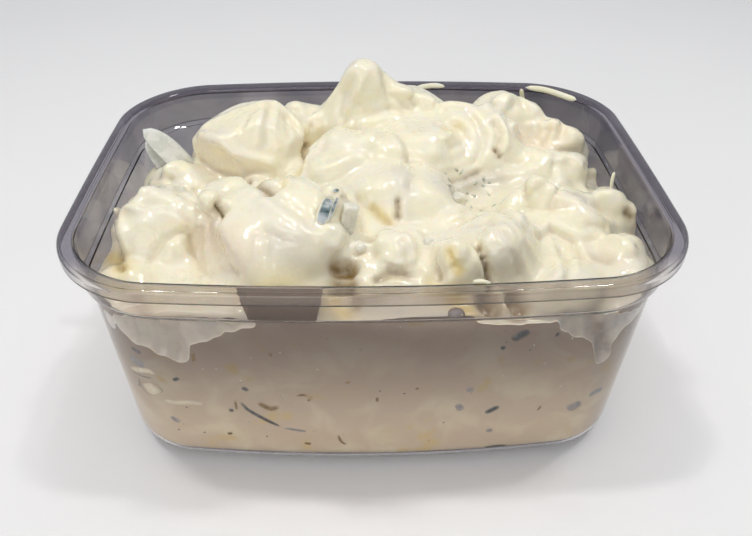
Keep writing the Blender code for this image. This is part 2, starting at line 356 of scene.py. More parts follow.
@dataclass(frozen=True)
class RingLoft:
    """A closed skin through a stack of rounded rectangles, lofted by Geometry Nodes."""

    around: int = 208
    reach: float = 138.0
    weld: float = 0.02

    def tree(self) -> NodeTree:
        """Build the loft's node tree, once.

        Returns:
            The tree, with the inputs Sections, Steps Around, Reach, Weld and Material.
        """
        name = "ring_loft"
        if name in bpy.data.node_groups:
            return bpy.data.node_groups[name]
        tree = bpy.data.node_groups.new(name, "GeometryNodeTree")
        for title, kind in (("Sections", "Geometry"), ("Steps Around", "Int"), ("Reach", "Float"),
                            ("Weld", "Float"), ("Material", "Material")):
            declare(tree, title, f"NodeSocket{kind}")
        declare(tree, "Skin", "NodeSocketGeometry", "OUTPUT")
        sheet = NodeSheet(tree)
        given = sheet.node("NodeGroupInput").outputs
        count = sheet.node("GeometryNodeAttributeDomainSize", {0: given["Sections"]}, component="MESH")
        columns = sheet.math("ADD", given["Steps Around"], 1)
        grid = sheet.node("GeometryNodeMeshGrid", {"Vertices X": count.outputs["Point Count"],
                                                   "Vertices Y": columns})
        index = sheet.node("GeometryNodeInputIndex").outputs[0]
        row = sheet.math("FLOOR", sheet.math("DIVIDE", sheet.math("ADD", index, 0.5), columns))
        column = sheet.math("SUBTRACT", index, sheet.math("MULTIPLY", row, columns))
        turn = sheet.math("MULTIPLY", sheet.math("DIVIDE", column, given["Steps Around"]), 2 * math.pi)
        half_x, half_y, corner = sheet.parts(self._section_value(sheet, given["Sections"], "plan", row))
        bow_x, bow_y, height = sheet.parts(self._section_value(sheet, given["Sections"], "lift", row))
        flat_x = sheet.math("SUBTRACT", half_x, bow_x)
        flat_y = sheet.math("SUBTRACT", half_y, bow_y)
        far = sheet.joined(sheet.math("MULTIPLY", sheet.math("COSINE", turn), given["Reach"]),
                           sheet.math("MULTIPLY", sheet.math("SINE", turn), given["Reach"]), 0.0)
        core = sheet.joined(sheet.math("SUBTRACT", flat_x, corner),
                            sheet.math("SUBTRACT", flat_y, corner), 0.0)
        inner = sheet.vector("MAXIMUM", sheet.vector("MINIMUM", far, core), sheet.scaled(core, -1.0))
        out = sheet.vector("NORMALIZE", sheet.vector("SUBTRACT", far, inner))
        x, y, _ = sheet.parts(sheet.vector("ADD", inner, sheet.scaled(out, corner)))
        place = sheet.joined(self._bowed(sheet, x, y, bow_x, flat_x, flat_y),
                             self._bowed(sheet, y, x, bow_y, flat_y, flat_x), height)
        outside, edge, _ = sheet.parts(self._section_value(sheet, given["Sections"], "skin", row))
        shape = sheet.node("GeometryNodeSetPosition", {"Geometry": grid.outputs["Mesh"],
                                                       "Position": place}).outputs[0]
        for title, value in (("outside", outside), ("edge", edge)):
            inputs = {"Geometry": shape, "Name": title, "Value": sheet.math("DIVIDE", value, MM)}
            shape = sheet.node("GeometryNodeStoreNamedAttribute", inputs, data_type="FLOAT",
                               domain="POINT").outputs[0]
        weld = sheet.node("GeometryNodeMergeByDistance", {"Geometry": shape, "Distance": given["Weld"]})
        self.finish_tree(sheet, weld.outputs[0], given["Material"])
        return tree

    @staticmethod
    def _section_value(sheet: NodeSheet, sections: Socket, name: str, row: Socket) -> Socket:
        """A stored vector of the section at a row.

        Args:
            sheet: The node sheet.
            sections: The points that store the sections.
            name: The stored vector's name.
            row: The section's row.

        Returns:
            The vector.
        """
        stored = sheet.node("GeometryNodeInputNamedAttribute", {"Name": name}, data_type="FLOAT_VECTOR")
        inputs = {"Geometry": sections, "Value": stored.outputs["Attribute"], "Index": row}
        sample = sheet.node("GeometryNodeSampleIndex", inputs, data_type="FLOAT_VECTOR", domain="POINT")
        return sample.outputs["Value"]

    @staticmethod
    def _bowed(sheet: NodeSheet, along: Socket, across: Socket, bow: Socket, flat: Socket,
               other: Socket) -> Socket:
        """A coordinate pushed out by its side's bow, most at the middle of the side.

        Args:
            sheet: The node sheet.
            along: The coordinate.
            across: The coordinate along the side.
            bow: How far the side bows.
            flat: The straight side's distance.
            other: The side's half length.

        Returns:
            The bowed coordinate.
        """
        share = sheet.math("POWER", sheet.math("ABSOLUTE", sheet.math("DIVIDE", across, other)), 2.0)
        push = sheet.math("MULTIPLY", sheet.math("DIVIDE", bow, flat), sheet.math("SUBTRACT", 1.0, share))
        return sheet.math("MULTIPLY", along, sheet.math("ADD", 1.0, push))

    @staticmethod
    def finish_tree(sheet: NodeSheet, shape: Socket, material: Socket) -> None:
        """End a tree with smooth shading, realized instances and its material.

        Args:
            sheet: The tree's node sheet.
            shape: The finished geometry.
            material: The socket that gives the material.
        """
        smooth = sheet.node("GeometryNodeSetShadeSmooth", {"Geometry": shape})
        real = sheet.node("GeometryNodeRealizeInstances", {"Geometry": smooth.outputs[0]})
        dress = sheet.node("GeometryNodeSetMaterial", {"Geometry": real.outputs[0], "Material": material})
        sheet.node("NodeGroupOutput", {0: dress.outputs[0]})

    def mesh(self, name: str, sections: list[Section], material: Material | None) -> Mesh:
        """Loft the sections into a closed mesh whose faces point out.

        Args:
            name: The mesh's name.
            sections: The outlines in order, the first and last shrunk to a point.
            material: The finish of the skin.

        Returns:
            The closed mesh, in metres.
        """
        stack = bpy.data.meshes.new(name + "_sections")
        stack.from_pydata([(0, 0, s.height * MM) for s in sections], [], [])
        for title, triples in (("plan", [(s.half_x, s.half_y, s.corner) for s in sections]),
                               ("lift", [(s.bow_x, s.bow_y, s.height) for s in sections]),
                               ("skin", [(s.outside, s.edge, 0.0) for s in sections])):
            stored = stack.attributes.new(title, "FLOAT_VECTOR", "POINT")
            stored.data.foreach_set("vector", (np.array(triples) * MM).astype(np.float32).ravel())
        holder = add_object(name + "_sections", stack)
        mesh = run_nodes(holder, self.tree(), {"Steps Around": self.around, "Reach": self.reach * MM,
                                               "Weld": self.weld * MM, "Material": material})
        bpy.data.objects.remove(holder)
        mesh.name = name
        return face_out(mesh)


@dataclass(frozen=True)
class ClearPlastic:
    """Clear, faintly smoky plastic, nearly clear over the food. Where one looks into the tub, and on the rim
    and the skirt, a painted dark tint stands in for the dark surroundings seen through the far walls.
    """

    outer_tint: Colour = from_srgb(249, 246, 247)
    collar_tint: Colour = from_srgb(219, 213, 210)
    inner_painted_shade: Colour = from_srgb(75, 73, 80)
    cloud_painted_shade: Colour = from_srgb(112, 107, 113)
    rim_painted_shade: Colour = from_srgb(134, 129, 138)
    front_rim_tint: Colour = from_srgb(227, 222, 217)
    front_rim: Pair = (-38.0, -46.0)
    skirt_painted_shade: Colour = from_srgb(176, 171, 182)
    skirt_from: Pair = (56.4, 57.0)
    right_shade: Colour = from_srgb(150, 150, 154)
    right_from: Pair = (0.0, 46.0)
    edge_painted_shade: Colour = from_srgb(30, 28, 32)
    edge_shade_strength: float = 0.9
    collar_from: Pair = (49.5, 51.0)
    rim_from: Pair = (58.7, 59.3)
    roughness: float = 0.035
    cloud_roughness: float = 0.09
    ior: float = 1.5
    shadow_tint: Colour = from_srgb(250, 249, 250)
    cloud_scale: float = 0.06
    cloud_from: Pair = (0.35, 0.7)

    def material(self) -> Material:
        """Build the plastic: a see-through surface that lets light pass to what it holds.

        Returns:
            The material.
        """
        material, sheet, surface = new_material("clear_plastic_look")
        place = object_place(sheet)
        cloud = sheet.ramp(sheet.noise(place, self.cloud_scale, 2.0, 0.5), *self.cloud_from)
        # Painted shade: the skin round the contents, seen from inside the tub, takes a dark tint that stands
        # in for the dark surroundings seen through the far walls; seen from behind, and on the outer skin, it
        # stays clear.
        behind = sheet.node("ShaderNodeNewGeometry").outputs["Backfacing"]
        clear = sheet.math("MAXIMUM", sheet.stored("outside"), behind)
        across, along, height = sheet.parts(place)
        inner = sheet.blend(cloud, self.inner_painted_shade, self.cloud_painted_shade)
        # Painted shade: darker still towards the right.
        inner = sheet.blend(sheet.ramp(across, *self.right_from), inner,
                            sheet.blend(1.0, inner, self.right_shade, "MULTIPLY"))
        # Painted shade on the rim and the skirt, lighter at the front where the food shows through.
        front = sheet.ramp(along, *self.front_rim)
        rim = sheet.blend(front, self.rim_painted_shade, self.front_rim_tint)
        inner = sheet.blend(sheet.ramp(height, *self.rim_from), inner, rim)
        outer = sheet.blend(sheet.ramp(height, *self.collar_from), self.outer_tint, self.collar_tint)
        skirt = sheet.blend(front, self.skirt_painted_shade, self.front_rim_tint)
        outer = sheet.blend(sheet.ramp(height, *self.skirt_from), outer, skirt)
        tint = sheet.blend(clear, inner, outer)
        # Painted dark lines along sharp turns stand in for the refraction that darkens them.
        edge = sheet.math("MULTIPLY", sheet.stored("edge"), self.edge_shade_strength)
        rough = sheet.ramp(cloud, 0.5, 1.0, self.roughness, self.cloud_roughness)
        sheet.fill(surface, {"Base Color": sheet.blend(edge, tint, self.edge_painted_shade), "Roughness": rough,
                             "IOR": self.ior, "Transmission Weight": 1.0})
        passing = sheet.node("ShaderNodeBsdfTransparent", {"Color": self.shadow_tint})
        path = sheet.node("ShaderNodeLightPath")
        mix = sheet.node("ShaderNodeMixShader", {0: path.outputs["Is Shadow Ray"], 1: surface.outputs[0],
                                                 2: passing.outputs[0]})
        sheet.fill(material.node_tree.nodes["Material Output"], {"Surface": mix.outputs[0]})
        return material


@dataclass
class DeliTub:
    """The clear tub: base panel, standing ring, tapered wall, ledge, collar, rolled flange and skirt."""

    length: float = 138.0
    width: float = 103.0
    height: float = 60.0
    rim_corner: float = 21.5
    base_corner: float = 15.0
    rim_bow: float = 4.0
    base_bow: float = 5.0
    short_bow: float = 0.8
    flange: float = 3.7
    skirt: float = 2.8
    edge_round: float = 1.1
    collar: float = 9.5
    ledge: float = 0.9
    taper: float = 3.3
    fillet: float = 5.0
    foot: float = 4.0
    panel_rise: float = 0.8
    wall: float = 0.6
    drawn_wall: float = 0.45
    # roll_edge, ledge_edge, line_half and the last values in ledge_turn and skirt_edge place and size painted
    # dark lines along the plastic's sharp turns, which stand in for refraction.
    roll_edge: float = 0.9
    line_half: float = 0.14
    fillet_steps: int = 8
    edge_steps: int = 5
    into_wall: float = 0.12
    wall_shares: tuple[float, ...] = (0.35, 0.65, 0.9)
    space_shares: tuple[float, ...] = (0.3, 0.6, 0.85)
    ledge_turn: tuple[Point, ...] = ((-0.15, 0.25, 0.0), (0.15, 0.05, 1.0), (0.6, 0.0, 0.0))
    ledge_edge: float = 0.8
    ledge_lead: float = 1.3
    drawn_from: float = 1.5
    drawn_under: float = 2.0
    least_turn: float = 0.6
    lip_drop: float = 0.35
    sharp_from: float = 60.0
    neck_inset: float = 0.25
    neck_rise: float = 0.3
    skirt_edge: tuple[Pair, ...] = ((0.45, 0.0), (0.0, 1.0))
    loft: RingLoft = field(default_factory=RingLoft)

    @property
    def ledge_height(self) -> float:
        """The height at which the wall steps out to the collar."""
        return self.height - self.collar

    def section(self, height: float, inset: float = 0.0, at: float | None = None) -> Section:
        """The inner wall's outline.

        Args:
            height: The height whose outline is wanted.
            inset: How far to take the outline in.
            at: The height to lay the outline at, where it isn't its own.

        Returns:
            The outline as a section.
        """
        share = min(max(height / self.ledge_height, 0.0), 1.0)
        corner = self.base_corner + (self.rim_corner - self.flange - self.base_corner) * share
        bow = self.base_bow + (self.rim_bow - self.base_bow) * share
        half = self.length / 2 - self.flange
        if height <= self.ledge_height:
            half -= self.ledge + self.taper * (1 - share)
        return self.ring(height if at is None else at, half - inset, corner - inset, bow)

    def ring(self, height: float, half: float, corner: float, bow: float) -> Section:
        """A section from its half length, corner radius and long side's bow."""
        return Section(height, half, half - (self.length - self.width) / 2, corner, self.short_bow, bow)

    @staticmethod
    def pole(height: float) -> Section:
        """A section shrunk to a point, which closes a skin."""
        return Section(height, POLE_HALF, POLE_HALF, POLE_CORNER, 0.0, 0.0)

    @staticmethod
    def quarter(radius: float, steps: int) -> list[Pair]:
        """(rise, inset) pairs up a quarter round that starts level and ends upright."""
        angles = [math.pi / 2 * step / steps for step in range(steps + 1)]
        return [(radius * (1 - math.cos(a)), radius * (1 - math.sin(a))) for a in angles]

    def inner_skin(self) -> list[Section]:
        """The inner and upper skin's outlines.

        Returns:
            The outlines, from the base panel to the skirt's lower edge.
        """
        floor = self.wall
        base = self.section(0.0)
        foot = base.half_x - self.fillet
        foot_corner = base.corner - self.fillet
        rings = []
        for share in (0.0, 0.5, 1.0):
            rise = self.panel_rise * (1 - (3 * share ** 2 - 2 * share ** 3))
            rings.append(self.ring(floor + rise, foot - self.foot - self.panel_rise * (1 - share),
                                   foot_corner, base.bow_y))
        for rise, inset in self.quarter(self.fillet, self.fillet_steps):
            rings.append(self.section(rise, inset, floor + rise))
        for share in self.wall_shares:
            rings.append(self.section(self.ledge_height * share))
        rings.append(self.section(self.ledge_height - self.ledge * self.ledge_lead))
        rings.append(replace(self.section(self.ledge_height - self.ledge), edge=self.ledge_edge))
        collar = self.section(self.height)
        for rise, inset, edge in self.ledge_turn:
            ring = self.ring(self.ledge_height + rise, collar.half_x - inset, collar.corner, collar.bow_y)
            rings.append(replace(ring, edge=edge))
        for step, (grow, drop) in enumerate(self.quarter(self.edge_round, self.edge_steps)):
            ring = self.ring(self.height - drop, collar.half_x + grow, collar.corner + grow, self.rim_bow)
            rings.append(replace(ring, edge=self.roll_edge if step == self.edge_steps - 2 else 0.0))
        for step, (drop, inset) in enumerate(self.quarter(self.edge_round, self.edge_steps)):
            ring = self.ring(self.height - drop, self.length / 2 - inset, self.rim_corner - inset,
                             self.rim_bow)
            rings.append(replace(ring, edge=self.roll_edge if step == 1 else 0.0, outside=float(step > 2)))
        for above, edge in self.skirt_edge:
            ring = self.ring(self.height - self.skirt + above, self.length / 2, self.rim_corner, self.rim_bow)
            rings.append(replace(ring, edge=edge, outside=1.0))
        return self.thin_lines(rings)

    def thin_lines(self, rings: list[Section]) -> list[Section]:
        """Keep each painted dark line narrow, with a clear ring close to it on either side.

        Args:
            rings: The outlines in order.

        Returns:
            The same outlines with the clear ones between them.
        """
        kept = []
        for i, here in enumerate(rings):
            for near in (i - 1, i, i + 1):
                if near == i:
                    kept.append(here)
                elif here.edge and 0 <= near < len(rings):
                    there = rings[near]
                    gap = math.hypot(there.half_x - here.half_x, there.height - here.height)
                    if gap > self.line_half:
                        share = self.line_half / gap
                        ring = self.ring(here.height + (there.height - here.height) * share,
                                         here.half_x + (there.half_x - here.half_x) * share,
                                         here.corner + (there.corner - here.corner) * share,
                                         here.bow_y + (there.bow_y - here.bow_y) * share)
                        kept.append(replace(ring, outside=here.outside))
        return kept

    def thickness(self, height: float) -> float:
        """The plastic's thickness: drawn thin in the wall, full at the base and the collar."""
        drawn = self.fillet * self.drawn_from < height < self.ledge_height - self.drawn_under
        return self.drawn_wall if drawn else self.wall

    def outer_skin(self, inner: list[Section]) -> list[Section]:
        """The outlines of the other side of the plastic.

        Args:
            inner: The inner skin's outlines.

        Returns:
            The outer outlines, in the same order.
        """
        outer = []
        for i, here in enumerate(inner):
            before = inner[max(i - 1, 0)]
            after = inner[min(i + 1, len(inner) - 1)]
            ways = []
            for start, end in ((before, here), (here, after)):
                step = Vector((end.half_x - start.half_x, end.height - start.height))
                if step.length > 0:
                    ways.append(step.normalized())
            ways = ways if i else [Vector((1.0, 0.0))]
            mean = sum(ways, Vector((0.0, 0.0))).normalized()
            reach = self.thickness(here.height) / max(self.least_turn, mean.dot(ways[0]))
            out_x, out_z = mean.y * reach, -mean.x * reach
            ring = self.ring(here.height + out_z, here.half_x + out_x, here.corner + out_x, here.bow_y)
            under_rim = here.height < self.height - self.edge_round
            outer.append(replace(ring, edge=here.edge if under_rim else 0.0))
        return outer

    def skin(self) -> list[Section]:
        """The whole closed skin of the plastic.

        Returns:
            Its outlines, from the middle of the base's upper side to the middle of its lower side.
        """
        inner = self.inner_skin()
        outer = self.outer_skin(inner)
        last = inner[-1]
        # The lip's middle ring carries a painted dark line.
        middle = replace(self.ring(last.height - self.wall * self.lip_drop, last.half_x - self.wall / 2,
                                   last.corner, self.rim_bow), edge=1.0)
        shell = [replace(ring, outside=1.0) for ring in (*reversed(outer), self.pole(outer[0].height))]
        return [self.pole(inner[0].height), *inner, middle, *shell]

    def inside(self, inset: float, top: float) -> list[Section]:
        """The closed skin of the space in the tub, carried straight up past the rim.

        Args:
            inset: How far the skin stands in from the inner wall: under 0, it reaches into the wall.
            top: The height of the skin's flat top.

        Returns:
            The sections.
        """
        floor = self.wall + self.panel_rise + inset
        rings = [self.section(rise, fall + inset, floor + rise)
                 for rise, fall in self.quarter(self.fillet, self.fillet_steps)]
        for share in self.space_shares:
            rings.append(self.section(self.ledge_height * share, inset))
        last = self.ledge_height - self.ledge
        neck = max(inset, 0.0) + self.neck_inset
        rings += [self.section(last, inset), self.section(last, neck, last + self.neck_rise),
                  self.section(last, neck, top)]
        return [self.pole(floor), *rings, self.pole(top)]

    def in_collar(self, inset: float, low: float, top: float) -> list[Section]:
        """The closed skin of the space inside the collar, between two heights."""
        return [self.pole(low), self.section(self.height, inset, low), self.section(self.height, inset, top),
                self.pole(top)]

    def build(self) -> Object:
        """Make the tub and let it stand for its CAD node.

        Returns:
            The tub.
        """
        finish = ClearPlastic().material()
        mesh = self.loft.mesh("deli_tub", self.skin(), finish)
        mesh.set_sharp_from_angle(angle=math.radians(self.sharp_from))
        tub = add_object("deli_tub", mesh)
        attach(tub, BODY)
        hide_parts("tub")
        log.info("deli_tub: %d faces", len(mesh.polygons))
        return tub


@dataclass(frozen=True)
class Lump:
    """One dressed potato chunk or dollop: centre and half sizes in millimetres, turns in degrees."""

    name: str
    centre: Point
    half: Point
    turn: float = 0.0
    tilt: float = 0.0
    cuts: int = 3
    rough: float = 0.10
    taper: float = 0.0
    facets: tuple[tuple[Point, float], ...] = ()


@dataclass(frozen=True)
class Stroke:
    """A sculpting stroke along a short path on the soft surface."""

    kind: Sculpt
    path: tuple[Point, ...]
    width: float
    depth: float


@dataclass(frozen=True)
class Stain:
    """A soft patch of another colour along a short path on the salad."""

    tint: Tint
    path: tuple[Point, ...]
    width: float
    strength: float


def read_point(word: str) -> Point:
    """A point from a word such as 1,2.5,3."""
    return tuple(float(value) for value in word.split(","))


def read_lumps(text: str, rough: float) -> tuple[Lump, ...]:
    """Lumps from a table whose rows give name, centre, half sizes, turn, tilt and number of cuts.

    Args:
        text: The table.
        rough: How uneven all of them are.

    Returns:
        One lump for each row.
    """
    made = []
    for line in text.strip().splitlines():
        name, centre, half, turn, tilt, cuts = line.split()
        made.append(Lump(name, read_point(centre), read_point(half), float(turn), float(tilt), int(cuts),
                         rough))
    return tuple(made)


def read_rows(make: type, kind: Enum, text: str) -> tuple:
    """Strokes or stains from a table whose rows give width, strength and the path's points.

    Args:
        make: The class of a row.
        kind: The kind that all rows have.
        text: The table.

    Returns:
        One object for each row.
    """
    made = []
    for line in text.strip().splitlines():
        width, strength, *places = line.split()
        made.append(make(kind, tuple(map(read_point, places)), float(width), float(strength)))
    return tuple(made)


LUMPS = (
    Lump("peak_foot", (0, 25, 60), (19, 13, 14), 6, 0, 1, 0.08, 0.45),
    Lump("peak_tip", (-1.8, 24, 69.85), (7.2, 7, 8), 0, 4, 0, 0.05, 0.25),
    Lump("peak_shoulder", (12, 27, 60), (12, 9, 8), -20),
    Lump("peak_left", (-17, 25, 57), (8, 8, 7), 30, 0, 2),
    Lump("back_left", (-38, 30, 44), (12, 10, 10), 15),
    Lump("back_right", (37, 29, 56), (11, 9, 9), 25, 10),
    Lump("back_right_end", (50, 21, 50), (10, 9, 9), -15),
    Lump("big_chunk", (-30, 12, 58), (17, 13, 13), 0, 0, 0, 0.04,
         facets=(((-0.45, -0.1, 0.9), 0.66), ((0.62, -0.15, 0.75), 0.70), ((-0.62, -0.72, -0.1), 0.60),
                 ((0.15, -0.9, 0.45), 0.62), ((0.9, -0.3, -0.05), 0.66))),
    Lump("centre_dome", (-5, 5, 56), (15, 13, 10), 12, 0, 2),
    Lump("centre_right", (12, 9, 58), (12, 11, 8), 35),
    Lump("swirl", (26, 15, 57), (15, 13, 9.5), -8, 6, 2),
    Lump("right_rear", (43, 7, 49), (13, 11, 10), 20),
    Lump("right_side", (55, 2, 44), (10, 12, 9), 0),
    Lump("left_rear", (-49, 9, 46), (13, 13, 9), 40),
    Lump("left_mound", (-50, -16, 51), (13, 14, 10), -30),
    Lump("left_knob", (-58, -5, 47.0), (8, 9, 6.5), 0),
    Lump("left_front", (-53, -33, 44), (12, 11, 9), 25),
    Lump("front_blob", (-21, -24, 54), (18, 16, 13.5), 14, 0, 2, 0.05),
    Lump("front_knob", (-34, -15, 60), (6.5, 5.0, 4.0), 20, 10, 0),
    Lump("centre_slope", (5, -10, 55), (14, 14, 8.5), -15),
    Lump("centre_front", (2, -32, 49), (12, 11, 9), 10),
    Lump("yellow_chunk", (17, -34, 51), (10, 10, 9.5), -12, 14, 4),
    Lump("pale_chunk", (28, -29, 53), (12, 11, 9.5), 18, -8, 4),
    Lump("right_middle", (42, -14, 50), (15, 14, 9.5), -25),
    Lump("right_tip", (56, -9, 48), (11, 9, 7), 8),
    Lump("right_low", (53, -30, 45), (12, 12, 9), -10),
    Lump("right_front", (40, -36, 47), (11, 10, 9), 22),
    Lump("left_wall", (-38, -38, 45), (12, 10, 9), -8),
    Lump("middle_wall", (-14, -41, 46), (13, 8, 6), 0),
)


DOLLOPS = read_lumps("""
right_crest_a 36.5,26,63 4,4,3 10 10 3
right_crest_b 44,27.5,60.5 4.5,4,3 -10 0 3
right_knob_a 49.5,22,57 4.2,4.2,4.2 0 0 1
right_knob_b 55,19.5,55.5 3.6,3.6,4.2 0 0 1
right_round 52.5,8,53.5 5,4.8,4.8 20 0 1
right_round_end 63,21.5,42 2.6,3,4.2 0 0 1
middle_knob_a 39,-10,58 3.2,3.4,4.4 0 0 2
middle_knob_b 42.5,-13,58 2.8,3.2,3.4 0 0 1
right_arm 57.5,-9,53.5 6.5,4.5,4 0 8 2
right_arm_end 63,-10.5,51.5 2.6,3,3 0 0 1
right_lower 55.5,-27,52 6,5,4.6 0 0 2
under_swirl_a 34.5,4.5,53 7,5,3.6 0 0 1
under_swirl_b 28,2,51.5 7,6,3.8 0 0 1
centre_lump_a 4.5,-30.5,56 5.2,5,4.6 0 0 2
centre_lump_b 10.5,-23,52.5 3.2,3.4,4.4 0 0 2
potato_bit 16.5,-37.5,57.5 3.8,3.6,5.4 0 0 1
onion_covered 26.5,-34,58 5.6,5,6 0 0 1
centre_fold_a 4,1.5,61 6.4,6,5 0 0 0
centre_fold_b 0,-12.5,59.5 4.6,4,3.2 0 0 1
left_bit_a -51.5,-14.5,60.5 2.6,2.4,2.6 0 0 3
left_bit_b -50.5,8.5,53 4,3.5,3 0 0 2
left_bead -41,-17.5,57 1.5,1.5,1.5 0 0 0
left_lobe -45,-25,50 4.4,3.6,5.6 0 0 1
back_bit_a -20,25,62.5 3.2,3,3 0 0 2
back_bit_b -14,21.5,60.5 4.6,3.6,2.8 0 0 2
peak_step_a 8.5,24,68 3,3,2.6 0 0 1
peak_step_b 14.5,24,65.5 3.2,3,2.4 0 0 1
chive_side -6,-21.5,60 2.2,2.2,3 10 0 3
knob_ball -36,-22.5,63.5 3.1,3.1,3.1 0 0 0
arch -31,-15,63 5.6,2.8,2.2 -12 0 0
blob_right -12,-30.5,59.5 6,5,4.4 0 0 0
left_corner -60,-13,56 2,2.4,2.4 0 0 2
chive_bed -9,-24,63.5 3.4,3.8,5.2 0 0 0
""", rough=0.06)


